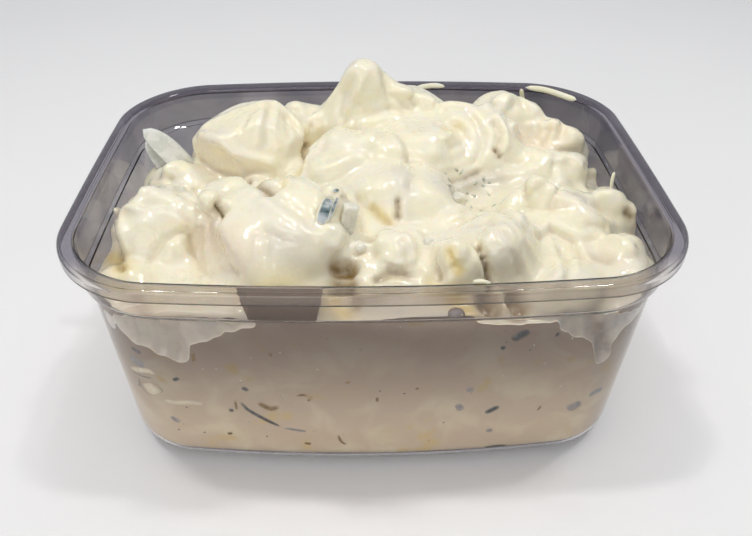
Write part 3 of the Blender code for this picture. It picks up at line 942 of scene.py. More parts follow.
STROKES: tuple[Stroke, ...] = (
    *read_rows(Stroke, Sculpt.RIDGE, """
1.4 0.7 -43,15,63 -35,16.5,66.5 -28,16,69
1.4 0.9 -24.5,18,68 -21,16.5,65.5 -18,13,62
1.6 1.4 -43,10.5,62.5 -37.5,6,63.5 -34,4,61 -29.5,3.5,59.5 -25.5,3.5,58.5
0.9 0.6 -27.5,12.5,68.5 -28.5,7,66.5 -28.5,5.5,63
0.8 0.5 -24,15,67 -24,8,65.5 -23,5.5,62
0.8 0.4 -30,11,68 -31,7,66
1.4 0.7 -22,24.5,64 -18,23,64.5
1.6 0.9 -3.5,21.5,76 -7.5,22.5,70.5 -10.5,22,66.5 -15,20,63
1.2 0.6 -1,20.5,75.5 -3,18.5,71.5 -5.5,18,66.5
1.8 0.7 -10,4.5,65.5 -5,16.5,62.5 1.5,16.5,64 7,17.5,64.5
1.2 0.7 7.5,22,69.5 10.5,22.5,68.5
1.2 0.6 13,23,67 16.5,22,66
2 0.8 0,1.5,66.5 3.5,11.5,63 5.5,3.5,65.5 6.5,-2,65 7.5,-5.5,62.5
2 0.5 -13.5,-5.5,60.5 -7.5,-4,63.5 -3,-4,64
1.4 0.8 -6,-25,64 -5,-24.5,60
0.8 0.8 -4.5,-30.5,57 -3,-29.5,57 -2,-31,57.5
1 0.6 6.5,-18.5,60 7,-20.5,57.5
1.2 0.8 -38,-22,55 -38,-25.5,52.5 -36,-31,51.5
1.5 0.6 -24.5,-24.5,65 -18.5,-30,64.5 -14.5,-33.5,62.5
1 0.5 -33.5,-31.5,53.5 -30,-36,56
0.8 0.5 -24.5,-33.5,62 -24.5,-37,60
0.8 0.4 -21,-39,59 -21,-40,56.5
0.8 0.4 -19.5,-33.5,63 -18,-34.5,62.5
1.2 0.5 -11,-34,62 -8,-34,59.5 -6,-33.5,56
1.2 1 -60.5,-15,57 -56,-18,59.5 -52.5,-20,60
1 0.7 -57.5,-18.5,58 -56,-24,57 -55,-26.5,53.5
1.2 0.7 -52.5,-15,62 -57.5,8,50.5 -53.5,5.5,51.5
1.4 0.7 -53,7.5,55 -49,10,55 -46.5,9,54.5
1.2 0.6 -48,-20.5,59.5 -45,-21,59 -43,-21.5,57
1.3 0.65 16.5,22,66 26.5,19,66.5 29,13.5,65.5 31,9,63 30,5,60 27,3,57
1.1 0.55 17,13.5,64.5 21.5,14.5,65 25,12.5,64.5 26.5,8.5,62 25.5,5.5,59.5 22,2.5,58.5 17,-0.5,59
0.8 0.7 18.5,5,64.5 20.5,8,64 22,8,62.5
1 0.9 32.5,14.5,66 34.5,10.5,64 34.5,7.5,61.5 32.5,5,59.5
1.3 1.1 30.5,18,66.5 34,24.5,65.5 37,26.5,66 42,29,63.5 45,25.5,62.5
1 0.7 37.5,25.5,65.5 35,22,64 32,13,65.5
1.2 0.9 37,14,63.5 43.5,22.5,59 46.5,21.5,60
1.3 0.7 49.5,20.5,61 53,20.5,59 55,17,58.5
1.1 0.8 47.5,5,58 51,7,58 54,5,56.5
1.1 0.8 37,-12,60.5 38,-11.5,61.5 40.5,-11.5,61
1 0.5 32.5,2,56 37.5,2,56 41.5,2,57.5
1 0.5 17.5,-11.5,60 23.5,-2,55 29,0.5,55.5 34,1,55.5
1.4 0.7 52,-11.5,57 55.5,-10.5,57.5 60,-9,56
1.3 0.7 48.5,-23.5,54 53,-22,53.5 55,-27.5,56 57,-30.5,55
1 0.6 39.5,-24.5,54 40.5,-30,53 39,-39,55
0.9 0.5 44.5,-28,52.5 43.5,-36.5,54.5
1.1 1 19,-20.5,57.5 26.5,-10,52 27,-28,62 29,-32,62.5 30.5,-34.5,61 33,-34,57.5 35,-34.5,54
0.9 0.7 20,-35.5,60 21,-39,59 22.5,-39,55
1 0.6 23,-36.5,61.5 24.5,-38.5,58.5 26.5,-38.5,54
1.6 1 1,-31.5,59 4,-23.5,56.5 7.5,-23.5,56 11,-27,56
1 0.7 2.5,-35,57 5,-36.5,56 8,-35,56
1 0.5 8,-34,57 9.5,-36,55
0.9 1.4 26.5,-41,51 27,-44,50
0.8 0.5 -21.5,-32,63 -19,-33.5,63 -17,-34.5,62.5
"""),
    *read_rows(Stroke, Sculpt.GROOVE, """
4.2 2.6 -59.5,-12,58 -60,-4.5,54.5 -57.5,-3.5,55
2.8 2.6 14.5,46.3,43.4
2.4 1 -37.5,6,59 -33,3.5,57.5 -29,1,57
1.2 1.2 -44.5,11,55.5 -41,7.5,54.5 -34.5,4,54.5 -28,-15,64.5
0.9 1.8 -30.5,-1.5,57 -25.5,-19,65.5 -23,-21.5,66
1.2 1.2 -17,4.5,60 -18.5,-1.5,59.5 -20,-20.5,67 -22.5,-21.5,66
1 2.6 -16.5,16,56.5 -17,3,60
0.8 0.6 -26,14,68 -26.5,8,66.5 -26,5.5,63
0.9 0.5 -31,11,67.5 -32,7,66
0.8 0.4 -21.5,13,65 -21,8,63.5
1.2 1 -21.5,15,65.5 -18.5,12.5,63 -16.5,15,58.5
1.1 0.8 -16.5,22,63.5 -15,18,61.5
1.2 0.6 -4.5,20,73.5 -7,20,68.5 -8,18.5,65
1.3 0.9 3.5,23,73.5 4.5,21,69.5 5.5,19,66.5
1.2 0.9 -6.5,17,63 1,17,65.5 5.5,18.5,66 8.5,19,65
0.9 0.8 11,22.5,67.5 12,21.5,66
0.9 0.8 6,21,68.5 9,20.5,66 11.5,20,65
1.4 0.9 7,3.5,65.5 9,-1.5,63 10,-9.5,63.5 9,-15,62.5
1.6 0.5 -10,-3,63 -5,-2.5,65 -1,-2,65
1.2 0.7 -11.5,-28.5,64 -7.5,-25,68
1 0.8 -3.5,-15.5,59.5 -2.5,-19.5,58 -2,-24.5,57
0.8 1 -4,-32.5,56.5 -2.5,-32.5,57
1 1 -0.5,-18,58.5 1.5,-20.5,57.5 3.5,-21.5,57
0.7 1.8 5.5,-18,60.5 5.5,-20.5,57.5
1 3.2 -33.5,-24.5,63.5 -34.5,-26,61.5
1 1 -40,-18,58.5 -37.5,-20.5,58
1.2 1.2 -39,-21,55 -39.5,-25,52.5 -37.5,-30.5,51.5 -34.5,-37,52.5
1.4 0.8 -23.5,-22,65.5 -17.5,-28,65 -12.5,-32,63.5 -8.5,-34,61.5
1.3 0.8 -33,-33,53 -31,-35,54 -29.5,-37,54.5
0.7 0.5 -18.5,-35,62 -17.5,-35.5,62
1.8 3.2 -7.5,-36,54.5 -5.5,-35.5,54.5
1.8 3 -7.5,-39,52.5 -6,-39.5,53
1.4 1 -62.5,-12.5,46.5 -60.5,-19,46.5
0.9 1 -42.5,-22.5,56 -46.5,-25.5,55.5 -50,-28.5,52
1 1 -41,-22.5,54.5 -40,-27,51.5 -37.5,-37,53
1 0.9 -52,-19.5,60.5 -49,-18,61 -46.5,-19,60
1 0.8 -51.5,5.5,53 -45,-13.5,60.5 -42,-15.5,59.5
1 1.4 -60,-20,46.5 -54.5,-33.5,54
0.9 0.7 19.5,18,65.5 24,17,66.5 27,13.5,65 28.5,9.5,63.5 28,6,60.5 26,4,58
0.8 0.6 19,8.5,65 22.5,13,64 24,10.5,63 23,7.5,61.5 19.5,4,62
0.9 1.3 31.5,12,65 33,9,63.5 32.5,6,60.5
0.8 1.6 31.5,5.5,60.5 32.5,5,59.5
0.9 1.2 27,2,56.5 23.5,-1,56.5 20,-2.5,56
1 0.7 39,25,64 36,15.5,64.5 36,11.5,64
2.2 0.9 38.5,12,61.5 45,19,57
1 1.1 48,23.5,60.5 48,19,59 46.5,17.5,56.5
1 1.1 44.5,8.5,59.5 51.5,15.5,55 56,16,54.5
0.9 0.9 52,21,60 50.5,17.5,57
1 1.1 47,5.5,58.5 46,0.5,56 43.5,-14.5,60.5
0.9 0.9 55.5,5.5,56 61.5,19,44 53.5,-7.5,56.5
1 1 36,-10.5,59.5 36.5,-15,57
1 1 44,-0.5,55.5 42,-15,60 41,-17.5,57.5
1 0.5 34,5,58 38,4.5,57 41.5,4.5,58.5
1.3 0.8 36.5,-16,56.5 43.5,-18,58 53.5,-14,55.5 58.5,-14.5,53
1.2 0.8 49.5,-22,56 53.5,-21,54.5 56,-25,56
1.5 0.9 49.5,-29.5,53 51.5,-31.5,53
1.2 1.4 61.5,-13,53 63,-13.5,52
1 0.7 41.5,-27.5,53 41.5,-33.5,54 40.5,-39.5,55
0.9 0.9 20.5,-27,59.5 24,-28.5,61.5 26,-34.5,64 27.5,-37,62.5 29,-38.5,59.5 30.5,-38,55
0.9 0.8 21,-18.5,58 27,-7.5,52 28,-23,61 30.5,-27.5,62.5 33,-30,60
0.7 1.8 21.5,-35.5,60 22.5,-38,58.5 23.5,-38.5,55.5 24.5,-39.5,53
1 1.1 13,-34,57.5 13,-40.5,55.5
1 0.7 15,-39.5,61 16,-41,58.5
1 0.9 6,-32.5,59.5 7,-34,58 6.5,-36,56
1.1 1.6 0.5,-39.5,54.5 3.5,-37.5,55 7,-38,54.5
0.9 0.9 11,-25,56 11.5,-31,57 11.5,-35.5,56
1 0.8 -1.5,-28.5,57 -0.5,-34,56.5
1.6 3 23,-42.5,51 24.5,-44.5,50
1.6 2.8 29,-41.5,50.5 30,-43.5,50
1.7 1.8 -58,-39,44.5 -58,-39,43.5
1.7 1.8 -55,-42,46 -54.5,-42,43.5
1.7 2 -52,-44,47.5 -52,-43,41.5
1.7 1.8 -49,-45,48 -49,-44.5,41.5
1.7 2.1 -46.5,-45.5,48 -46.5,-44.5,40
1.7 1.8 -44,-45.5,48.5 -44,-45,39
1.7 2 -41.5,-46,48 -42.5,-45,38
1.6 1.6 -39,-46,48 -39,-45.5,44
1.6 1.8 -36.5,-46,48 -36.5,-46,44.5
1.5 1.6 -34,-46.5,48.5 -33.5,-46.5,46
1.5 1.6 -31.5,-46.5,48 -30,-46.5,47.5
1.3 1.5 -28,-47,48.5 -26.5,-47,48.5
1.4 1.6 22,-47,49.5 24.5,-47,49
1.3 1.5 27,-46.5,49 30,-46.5,48.5
1.4 1.6 33,-46.5,49 36.5,-46,48.5
1.6 1.8 39.5,-46,48.5 40.5,-46,46
1.6 1.8 42,-46,48 43.5,-45.5,44
1.7 2 45,-45.5,48 46.5,-45,43
1.8 2.5 47,-45,47.5 51,-43,34.5
1.7 2 50,-44.5,47 51.5,-43.5,40.5
1.7 1.8 53,-43,46 54,-42.5,43
1.6 1.8 56,-41,45.5 56.5,-40.5,44
1.4 1.6 58.5,-39,45.5 58.5,-39,44.5
0.8 1.2 -33.5,-23.5,64.5 -33.5,-25,63
0.8 1.2 -45,1.5,52 -40.5,-16.5,59.5 -39,-19,58.5 -35.5,-25.5,62
0.9 0.6 -23.5,-31.5,63 -22.5,-35,61.5 -22.5,-37.5,60
0.9 0.5 -25.5,-33,62 -22.5,-33.5,62.5 -19.5,-35.5,62
"""),
    *read_rows(Stroke, Sculpt.FOLD, """
1.8 0.7 -19,-21,67 -17,0.5,60.5 -12.5,2.5,63.5 -4.5,16,62
1.8 1 37,-24,55 40.5,-20.5,55 43,-22.5,54.5 46,-24.5,53.5 46.5,-29.5,52.5
"""),
)


STAINS: tuple[Stain, ...] = (
    # Brown rows: crevices and pits, partly a brown stain and partly painted shade.
    *read_rows(Stain, Tint.BROWN, """
1 0.85 -16.5,16,56.5 -17,3.5,60
0.9 0.7 -30.5,-0.5,57 -25.5,-18.5,65.5 -23,-22,66
0.9 0.55 -33.5,-24.5,63.5 -34,-26,61.5
2.2 0.85 -7.5,-36,54.5 -5.5,-36,54.5
2.2 0.75 -7.5,-39,52.5 -6,-39.5,53
2.2 0.5 -59,-18,57 -59,-18.5,48
1 0.7 -60,-20.5,47 -55,-33,54
0.9 0.22 -0.5,-18,58.5 1.5,-20.5,57.5 3.5,-21.5,57
0.7 0.8 5.5,-18,60.5 5.5,-20.5,57.5
0.55 0.75 21.5,-35.5,60 22.5,-38,58.5 23.5,-38.5,55.5 24.5,-39.5,53
0.8 0.35 12.5,-34.5,57.5 13,-40.5,55.5
1.3 0.5 1,-39,54.5 3.5,-38,55 7,-38,54.5
0.8 0.85 31.5,5.5,60.5 32.5,5,59.5
1.3 0.6 61,-13,53.5 63,-13.5,52
1.8 0.22 49.5,-29.5,53 51.5,-31.5,53
2.2 0.8 23,-42.5,51 24.5,-44.5,50
2.2 0.75 29,-41.5,50.5 30,-44,49.5
0.7 0.45 26.5,2,56.5 23.5,-1,56.5
1.6 0.7 49,-44.5,43.5 52,-42.5,35.5
1.4 0.6 -5,-41,52 -4,-43,50.5
0.9 0.6 -34,-24.5,64 -34.5,-25.5,62
1.2 0.2 -47,-45,47.5 -44,-45.5,45.5
0.5 0.6 -7,-25.5,66.5 -5.5,-16.5,59.5
1.6 0.3 -50,-40,50 -48,-44,50
"""),
    *read_rows(Stain, Tint.YELLOW, """
1.5 0.8 15,-39.5,61.5 16,-40.5,59.5 17,-41,58
1.2 0.6 -0.5,-18,59 1.5,-20,58 3.5,-21.5,57
2.6 0.4 11.5,-40.5,54 14.5,-42.5,54
2.4 0.7 -62.5,-17,45 -54.5,-33.5,54
1.2 0.45 -17,2,60 -18.5,-1,59 -20,-20.5,67
1.5 0.35 18.5,9,65.5 22.5,12.5,64
2.2 0.7 -9.5,-42,51.5 -6.5,-45,50
2.4 0.9 16,-43,53 18.5,-45,51
"""),
    # Grey rows: partly onion and herbs under the dressing, partly painted shade on the front blob and under
    # the collar.
    *read_rows(Stain, Tint.GREY, """
4.5 0.6 -20.5,-37,61 -17.5,-38,59.5 -14,-37.5,57
3.6 0.7 18,-10.5,59 24.5,-1.5,55 31.5,0.5,55
2.4 0.25 25,-35,63.5 27.5,-38,61.5 30.5,-38,57
2.4 0.4 -6,-25,64 -4.5,-24.5,59
3 0.35 6,-9,64 7,-15,63
3 0.6 -1.5,-43.5,50.5 5,-44.5,50.5
3 0.5 5,-44.5,50.5 14,-45.5,50.5
"""),
    # Pink rows: painted shade on the faces turned from the light.
    *read_rows(Stain, Tint.PINK, """
4.5 0.5 -42.5,9,59.5 -38,6.5,56.5 -32,2.5,56.5
4.5 0.6 40,18,59.5 48.5,17,56.5
5 0.9 -36.5,-23.5,55 -29.5,-35,59.5
3 0.9 -59,-18,57.5 -59,-18.5,48
4.5 0.3 43.5,-16,59 50,-17.5,58
3 0.4 49.5,-28.5,53 53,-32.5,53.5
1.8 0.9 47.5,-45,45.5 51,-43,36.5
2.2 0.7 -51.5,-40,50 -47.5,-44,50
2.2 0.8 -43.5,-45.5,49 -41.5,-45.5,44.5
"""),
)


@dataclass(frozen=True)
class DressingFinish:
    """Creamy dressing over potato: warm white, with a painted warm shade in the hollows, glossy where it is
    wet.
    """

    cream: Colour = from_srgb(247, 240, 214)
    pale: Colour = from_srgb(245, 239, 220)
    potato: Colour = from_srgb(244, 232, 194)
    hollow: Colour = from_srgb(206, 176, 118)
    brown: Colour = from_srgb(142, 112, 56)
    yellow: Colour = from_srgb(238, 214, 132)
    grey: Colour = from_srgb(206, 200, 187)
    pink: Colour = from_srgb(243, 229, 208)
    roughness: float = 0.31
    wet_drop: float = 0.1
    dry_rise: float = 0.14
    potato_share: float = 0.24
    patch_scale: float = 0.11
    patch_from: Pair = (0.42, 0.62)
    potato_scale: float = 0.16
    potato_from: Pair = (0.42, 0.66)
    ragged_scale: float = 0.7
    ragged_from: Pair = (0.3, 0.6)
    ragged_share: Pair = (0.75, 1.15)
    wet_scale: float = 0.35
    wet_from: Pair = (0.3, 0.7)
    grain_scale: float = 0.6
    bump_height: float = 0.25

    def material(self) -> Material:
        """Build the dressing, tinted by the values stored on the mesh.

        Returns:
            The material.
        """
        material, sheet, surface = new_material("dressing_look")
        place = object_place(sheet)
        patch = sheet.ramp(sheet.noise(place, self.patch_scale, 3.0, 0.6), *self.patch_from)
        colour = sheet.blend(patch, self.cream, self.pale)
        bare = sheet.ramp(sheet.noise(place, self.potato_scale, 3.0), *self.potato_from)
        yellow = sheet.math("MULTIPLY", sheet.stored("tone"), bare)
        colour = sheet.blend(sheet.math("MULTIPLY", yellow, self.potato_share), colour, self.potato)
        # Grey is partly onion and herbs showing through and partly painted shade; pink is painted shade;
        # yellow is potato showing through.
        for tint, shade in ((Tint.GREY, self.grey), (Tint.PINK, self.pink), (Tint.YELLOW, self.yellow)):
            colour = sheet.blend(sheet.stored(tint.value), colour, shade)
        # Painted shade: a warm darker tint in the hollows, where the skin lies below its smoothed
        # surroundings.
        colour = sheet.blend(sheet.stored("hollow"), colour, self.hollow)
        # Brown is partly a brown stain and partly painted shade in crevices and pits, broken up by noise.
        ragged = sheet.ramp(sheet.noise(place, self.ragged_scale, 3.0), *self.ragged_from, *self.ragged_share)
        brown = sheet.math("MULTIPLY", sheet.stored(Tint.BROWN.value), ragged, clamp=True)
        rough = sheet.ramp(sheet.noise(place, self.wet_scale, 3.0), *self.wet_from,
                           self.roughness - self.wet_drop, self.roughness + self.dry_rise)
        grain = sheet.noise(place, self.grain_scale, 3.0, 0.5)
        film = sheet.noise(place, self.grain_scale, 1.0, 0.6)
        sheet.fill(surface, {
            "Base Color": sheet.blend(brown, colour, self.brown), "Roughness": rough,
            "Subsurface Weight": 0.5, "Subsurface Radius": (1.0, 0.72, 0.42),
            "Subsurface Scale": 1.2 * MM, "IOR": 1.45, "Coat Weight": 0.7, "Coat Roughness": 0.05,
            "Normal": sheet.bump(grain, 0.35, self.bump_height),
            "Coat Normal": sheet.bump(film, 0.8, self.bump_height)})
        return material


@dataclass(frozen=True)
class PressedFinish:
    """Dressing pressed flat on the tub's wall: duller and browner, with specks and pits, and a painted shade
    that darkens it towards the rim and fades towards the base.
    """

    body: Colour = from_srgb(234, 218, 200)
    light: Colour = from_srgb(246, 236, 216)
    potato: Colour = from_srgb(238, 218, 172)
    speck: Colour = from_srgb(92, 86, 84)
    # upper and lower: painted shade, strong under the rim and faint at the base, multiplied in by height
    # between the two heights.
    upper: Colour = from_srgb(147, 138, 132)
    lower: Colour = from_srgb(240, 238, 228)
    heights: Pair = (48.0, 8.0)
    roughness: float = 0.6
    light_scale: float = 0.09
    light_from: Pair = (0.45, 0.68)
    potato_scale: float = 0.13
    potato_from: Pair = (0.6, 0.72)
    speck_scale: float = 0.28
    speck_edge: Pair = (0.1, 0.04)
    speck_patch_scale: float = 0.2
    speck_patch_from: Pair = (0.52, 0.56)
    grain_scale: float = 0.4
    bump_height: float = 0.3

    def colour(self, sheet: NodeSheet) -> Socket:
        """The colour without its specks, painted shade included, in a node group that all pressed things
        share.

        Args:
            sheet: The material's node sheet.

        Returns:
            The colour.
        """
        name = "pressed_dressing_colour"
        tree = bpy.data.node_groups.get(name) or self.colour_tree(name)
        return sheet.node("ShaderNodeGroup", node_tree=tree).outputs["Color"]

    def colour_tree(self, name: str) -> NodeTree:
        """Build the node group of the colour.

        Args:
            name: The group's name.

        Returns:
            The group, which has one output, Color.
        """
        tree = bpy.data.node_groups.new(name, "ShaderNodeTree")
        declare(tree, "Color", "NodeSocketColor", "OUTPUT")
        sheet = NodeSheet(tree)
        place = object_place(sheet)
        light = sheet.ramp(sheet.noise(place, self.light_scale, 3.0, 0.5), *self.light_from)
        potato = sheet.ramp(sheet.noise(place, self.potato_scale, 2.0), *self.potato_from)
        colour = sheet.blend(potato, sheet.blend(light, self.body, self.light), self.potato)
        # Painted shade: darker towards the rim, lighter towards the base.
        depth = sheet.ramp(sheet.parts(place)[2], *self.heights)
        colour = sheet.blend(1.0, colour, sheet.blend(depth, self.upper, self.lower), "MULTIPLY")
        sheet.node("NodeGroupOutput", {"Color": colour})
        return tree

    def material(self) -> Material:
        """Build the pressed dressing.

        Returns:
            The material.
        """
        material, sheet, surface = new_material("pressed_dressing_look")
        place = object_place(sheet)
        colour = self.colour(sheet)
        cells = sheet.node("ShaderNodeTexVoronoi", {"Vector": place, "Scale": self.speck_scale}, feature="F1")
        speck = sheet.ramp(cells.outputs["Distance"], *self.speck_edge)
        kept = sheet.ramp(sheet.noise(place, self.speck_patch_scale, 1.0), *self.speck_patch_from)
        colour = sheet.blend(sheet.math("MULTIPLY", speck, kept), colour, self.speck)
        grain = sheet.noise(place, self.grain_scale, 3.0)
        sheet.fill(surface, {"Base Color": colour, "Roughness": self.roughness,
                             "Normal": sheet.bump(grain, 0.3, self.bump_height)})
        return material


def path_measure(points: np.ndarray, path: np.ndarray) -> tuple[np.ndarray, np.ndarray]:
    """Measure points against a path of straight runs.

    Args:
        points: The points, in rows.
        path: The path's points, in rows.

    Returns:
        Each point's distance from the path, and its side seen from above: over 0 is left of it.
    """
    best = np.full(len(points), np.inf)
    side = np.zeros(len(points))
    ends = path if len(path) > 1 else np.stack([path[0], path[0]])
    for start, end in zip(ends, ends[1:]):
        run = end - start
        length = max(float(run @ run), 1e-9)
        offset = points - start
        share = np.clip(offset @ run / length, 0.0, 1.0)[:, None]
        gap = np.linalg.norm(offset - share * run, axis=1)
        nearer = gap < best
        best[nearer] = gap[nearer]
        turned = (run[0] * offset[:, 1] - run[1] * offset[:, 0]) / math.sqrt(length)
        side[nearer] = turned[nearer]
    return best, side


STROKE_REACH = 2.6
FOLD_TURN = 0.25
RELAX = 0.5


@dataclass
class SoftSurface:
    """A fine mesh held as arrays, which can be smoothed and sculpted."""

    mesh: Mesh

    def __post_init__(self) -> None:
        """Read the mesh's points and edges."""
        count = len(self.mesh.vertices)
        flat = np.empty(count * 3, np.float32)
        self.mesh.vertices.foreach_get("co", flat)
        self.points = flat.reshape(-1, 3).astype(float) / MM
        edges = np.empty(len(self.mesh.edges) * 2, np.int32)
        self.mesh.edges.foreach_get("vertices", edges)
        self.edges = edges.reshape(-1, 2)
        self.links = np.bincount(self.edges.ravel(), minlength=count).astype(float)[:, None]

    def neighbours_mean(self, values: np.ndarray) -> np.ndarray:
        """The mean of each point's neighbours.

        Args:
            values: The points' values, in rows.

        Returns:
            The means, in rows.
        """
        first, second = self.edges[:, 0], self.edges[:, 1]
        count = len(self.links)
        sums = [np.bincount(first, values[second, k], count) + np.bincount(second, values[first, k], count)
                for k in range(values.shape[1])]
        return np.stack(sums, axis=1) / self.links

    def smooth(self, steps: int) -> None:
        """Relax the points towards their neighbours."""
        for _ in range(steps):
            self.points += (self.neighbours_mean(self.points) - self.points) * RELAX

    def normals(self) -> np.ndarray:
        """The points' normals.

        Returns:
            The normals, in rows.
        """
        self.store()
        flat = np.empty(len(self.points) * 3, np.float32)
        self.mesh.vertex_normals.foreach_get("vector", flat)
        return flat.reshape(-1, 3).astype(float)

    def hollowness(self, steps: int) -> np.ndarray:
        """How far each point lies below its smoothed surroundings.

        Args:
            steps: How many times the surroundings are smoothed.

        Returns:
            The depths in millimetres.
        """
        mean = self.points.copy()
        for _ in range(steps):
            mean += (self.neighbours_mean(mean) - mean) * RELAX
        return ((mean - self.points) * self.normals()).sum(axis=1)

    def fill(self, steps: int, share: float) -> None:
        """Fill the skin's hollows, as a thick dressing does, and leave its peaks alone."""
        self.points += self.normals() * (np.maximum(self.hollowness(steps), 0.0) * share)[:, None]

    def store(self) -> None:
        """Write the points back to the mesh."""
        self.mesh.vertices.foreach_set("co", (self.points * MM).astype(np.float32).ravel())
        self.mesh.update()

    def draw(self, stroke: Stroke, normals: np.ndarray) -> None:
        """Draw one stroke, whose path is first laid on the skin, on the points near it.

        Args:
            stroke: The stroke.
            normals: The skin's normals.
        """
        path = np.array([self.points[np.argmin(((self.points - p) ** 2).sum(axis=1))] for p in stroke.path])
        reach = stroke.width * STROKE_REACH
        inside = (self.points > path.min(axis=0) - reach) & (self.points < path.max(axis=0) + reach)
        near = np.flatnonzero(inside.all(axis=1))
        gap, side = path_measure(self.points[near], path)
        fall = np.exp(-(gap / stroke.width) ** 2)
        if stroke.kind is Sculpt.FOLD:
            fall *= np.tanh(side / (stroke.width * FOLD_TURN))
        depth = -stroke.depth if stroke.kind is Sculpt.GROOVE else stroke.depth
        self.points[near] += normals[near] * (depth * fall)[:, None]


@dataclass
class Scaffold:
    """Points in millimetres and faces that together close one or more rough forms."""

    points: list[Point]
    faces: list[tuple[int, ...]]

    @staticmethod
    def bands(rings: int, around: int) -> list[tuple[int, ...]]:
        """Faces between rings of points that go up, with a cap at each end.

        Args:
            rings: How many rings there are.
            around: How many points each ring has.

        Returns:
            The faces, which point out where the rings run anticlockwise.
        """
        faces = [tuple(reversed(range(around))), tuple(range((rings - 1) * around, rings * around))]
        for ring in range(rings - 1):
            low = ring * around
            for i in range(around):
                after = (i + 1) % around
                faces.append((low + i, low + after, low + around + after, low + around + i))
        return faces

    def add(self, other: "Scaffold") -> None:
        """Take another form in.

        Args:
            other: The form.
        """
        first = len(self.points)
        self.points += other.points
        self.faces += [tuple(first + i for i in face) for face in other.faces]

    def mesh(self, name: str) -> Mesh:
        """The forms as one mesh in metres.

        Args:
            name: The mesh's name.

        Returns:
            The mesh.
        """
        made = bpy.data.meshes.new(name)
        made.from_pydata([(x * MM, y * MM, z * MM) for x, y, z in self.points], [], self.faces)
        return made


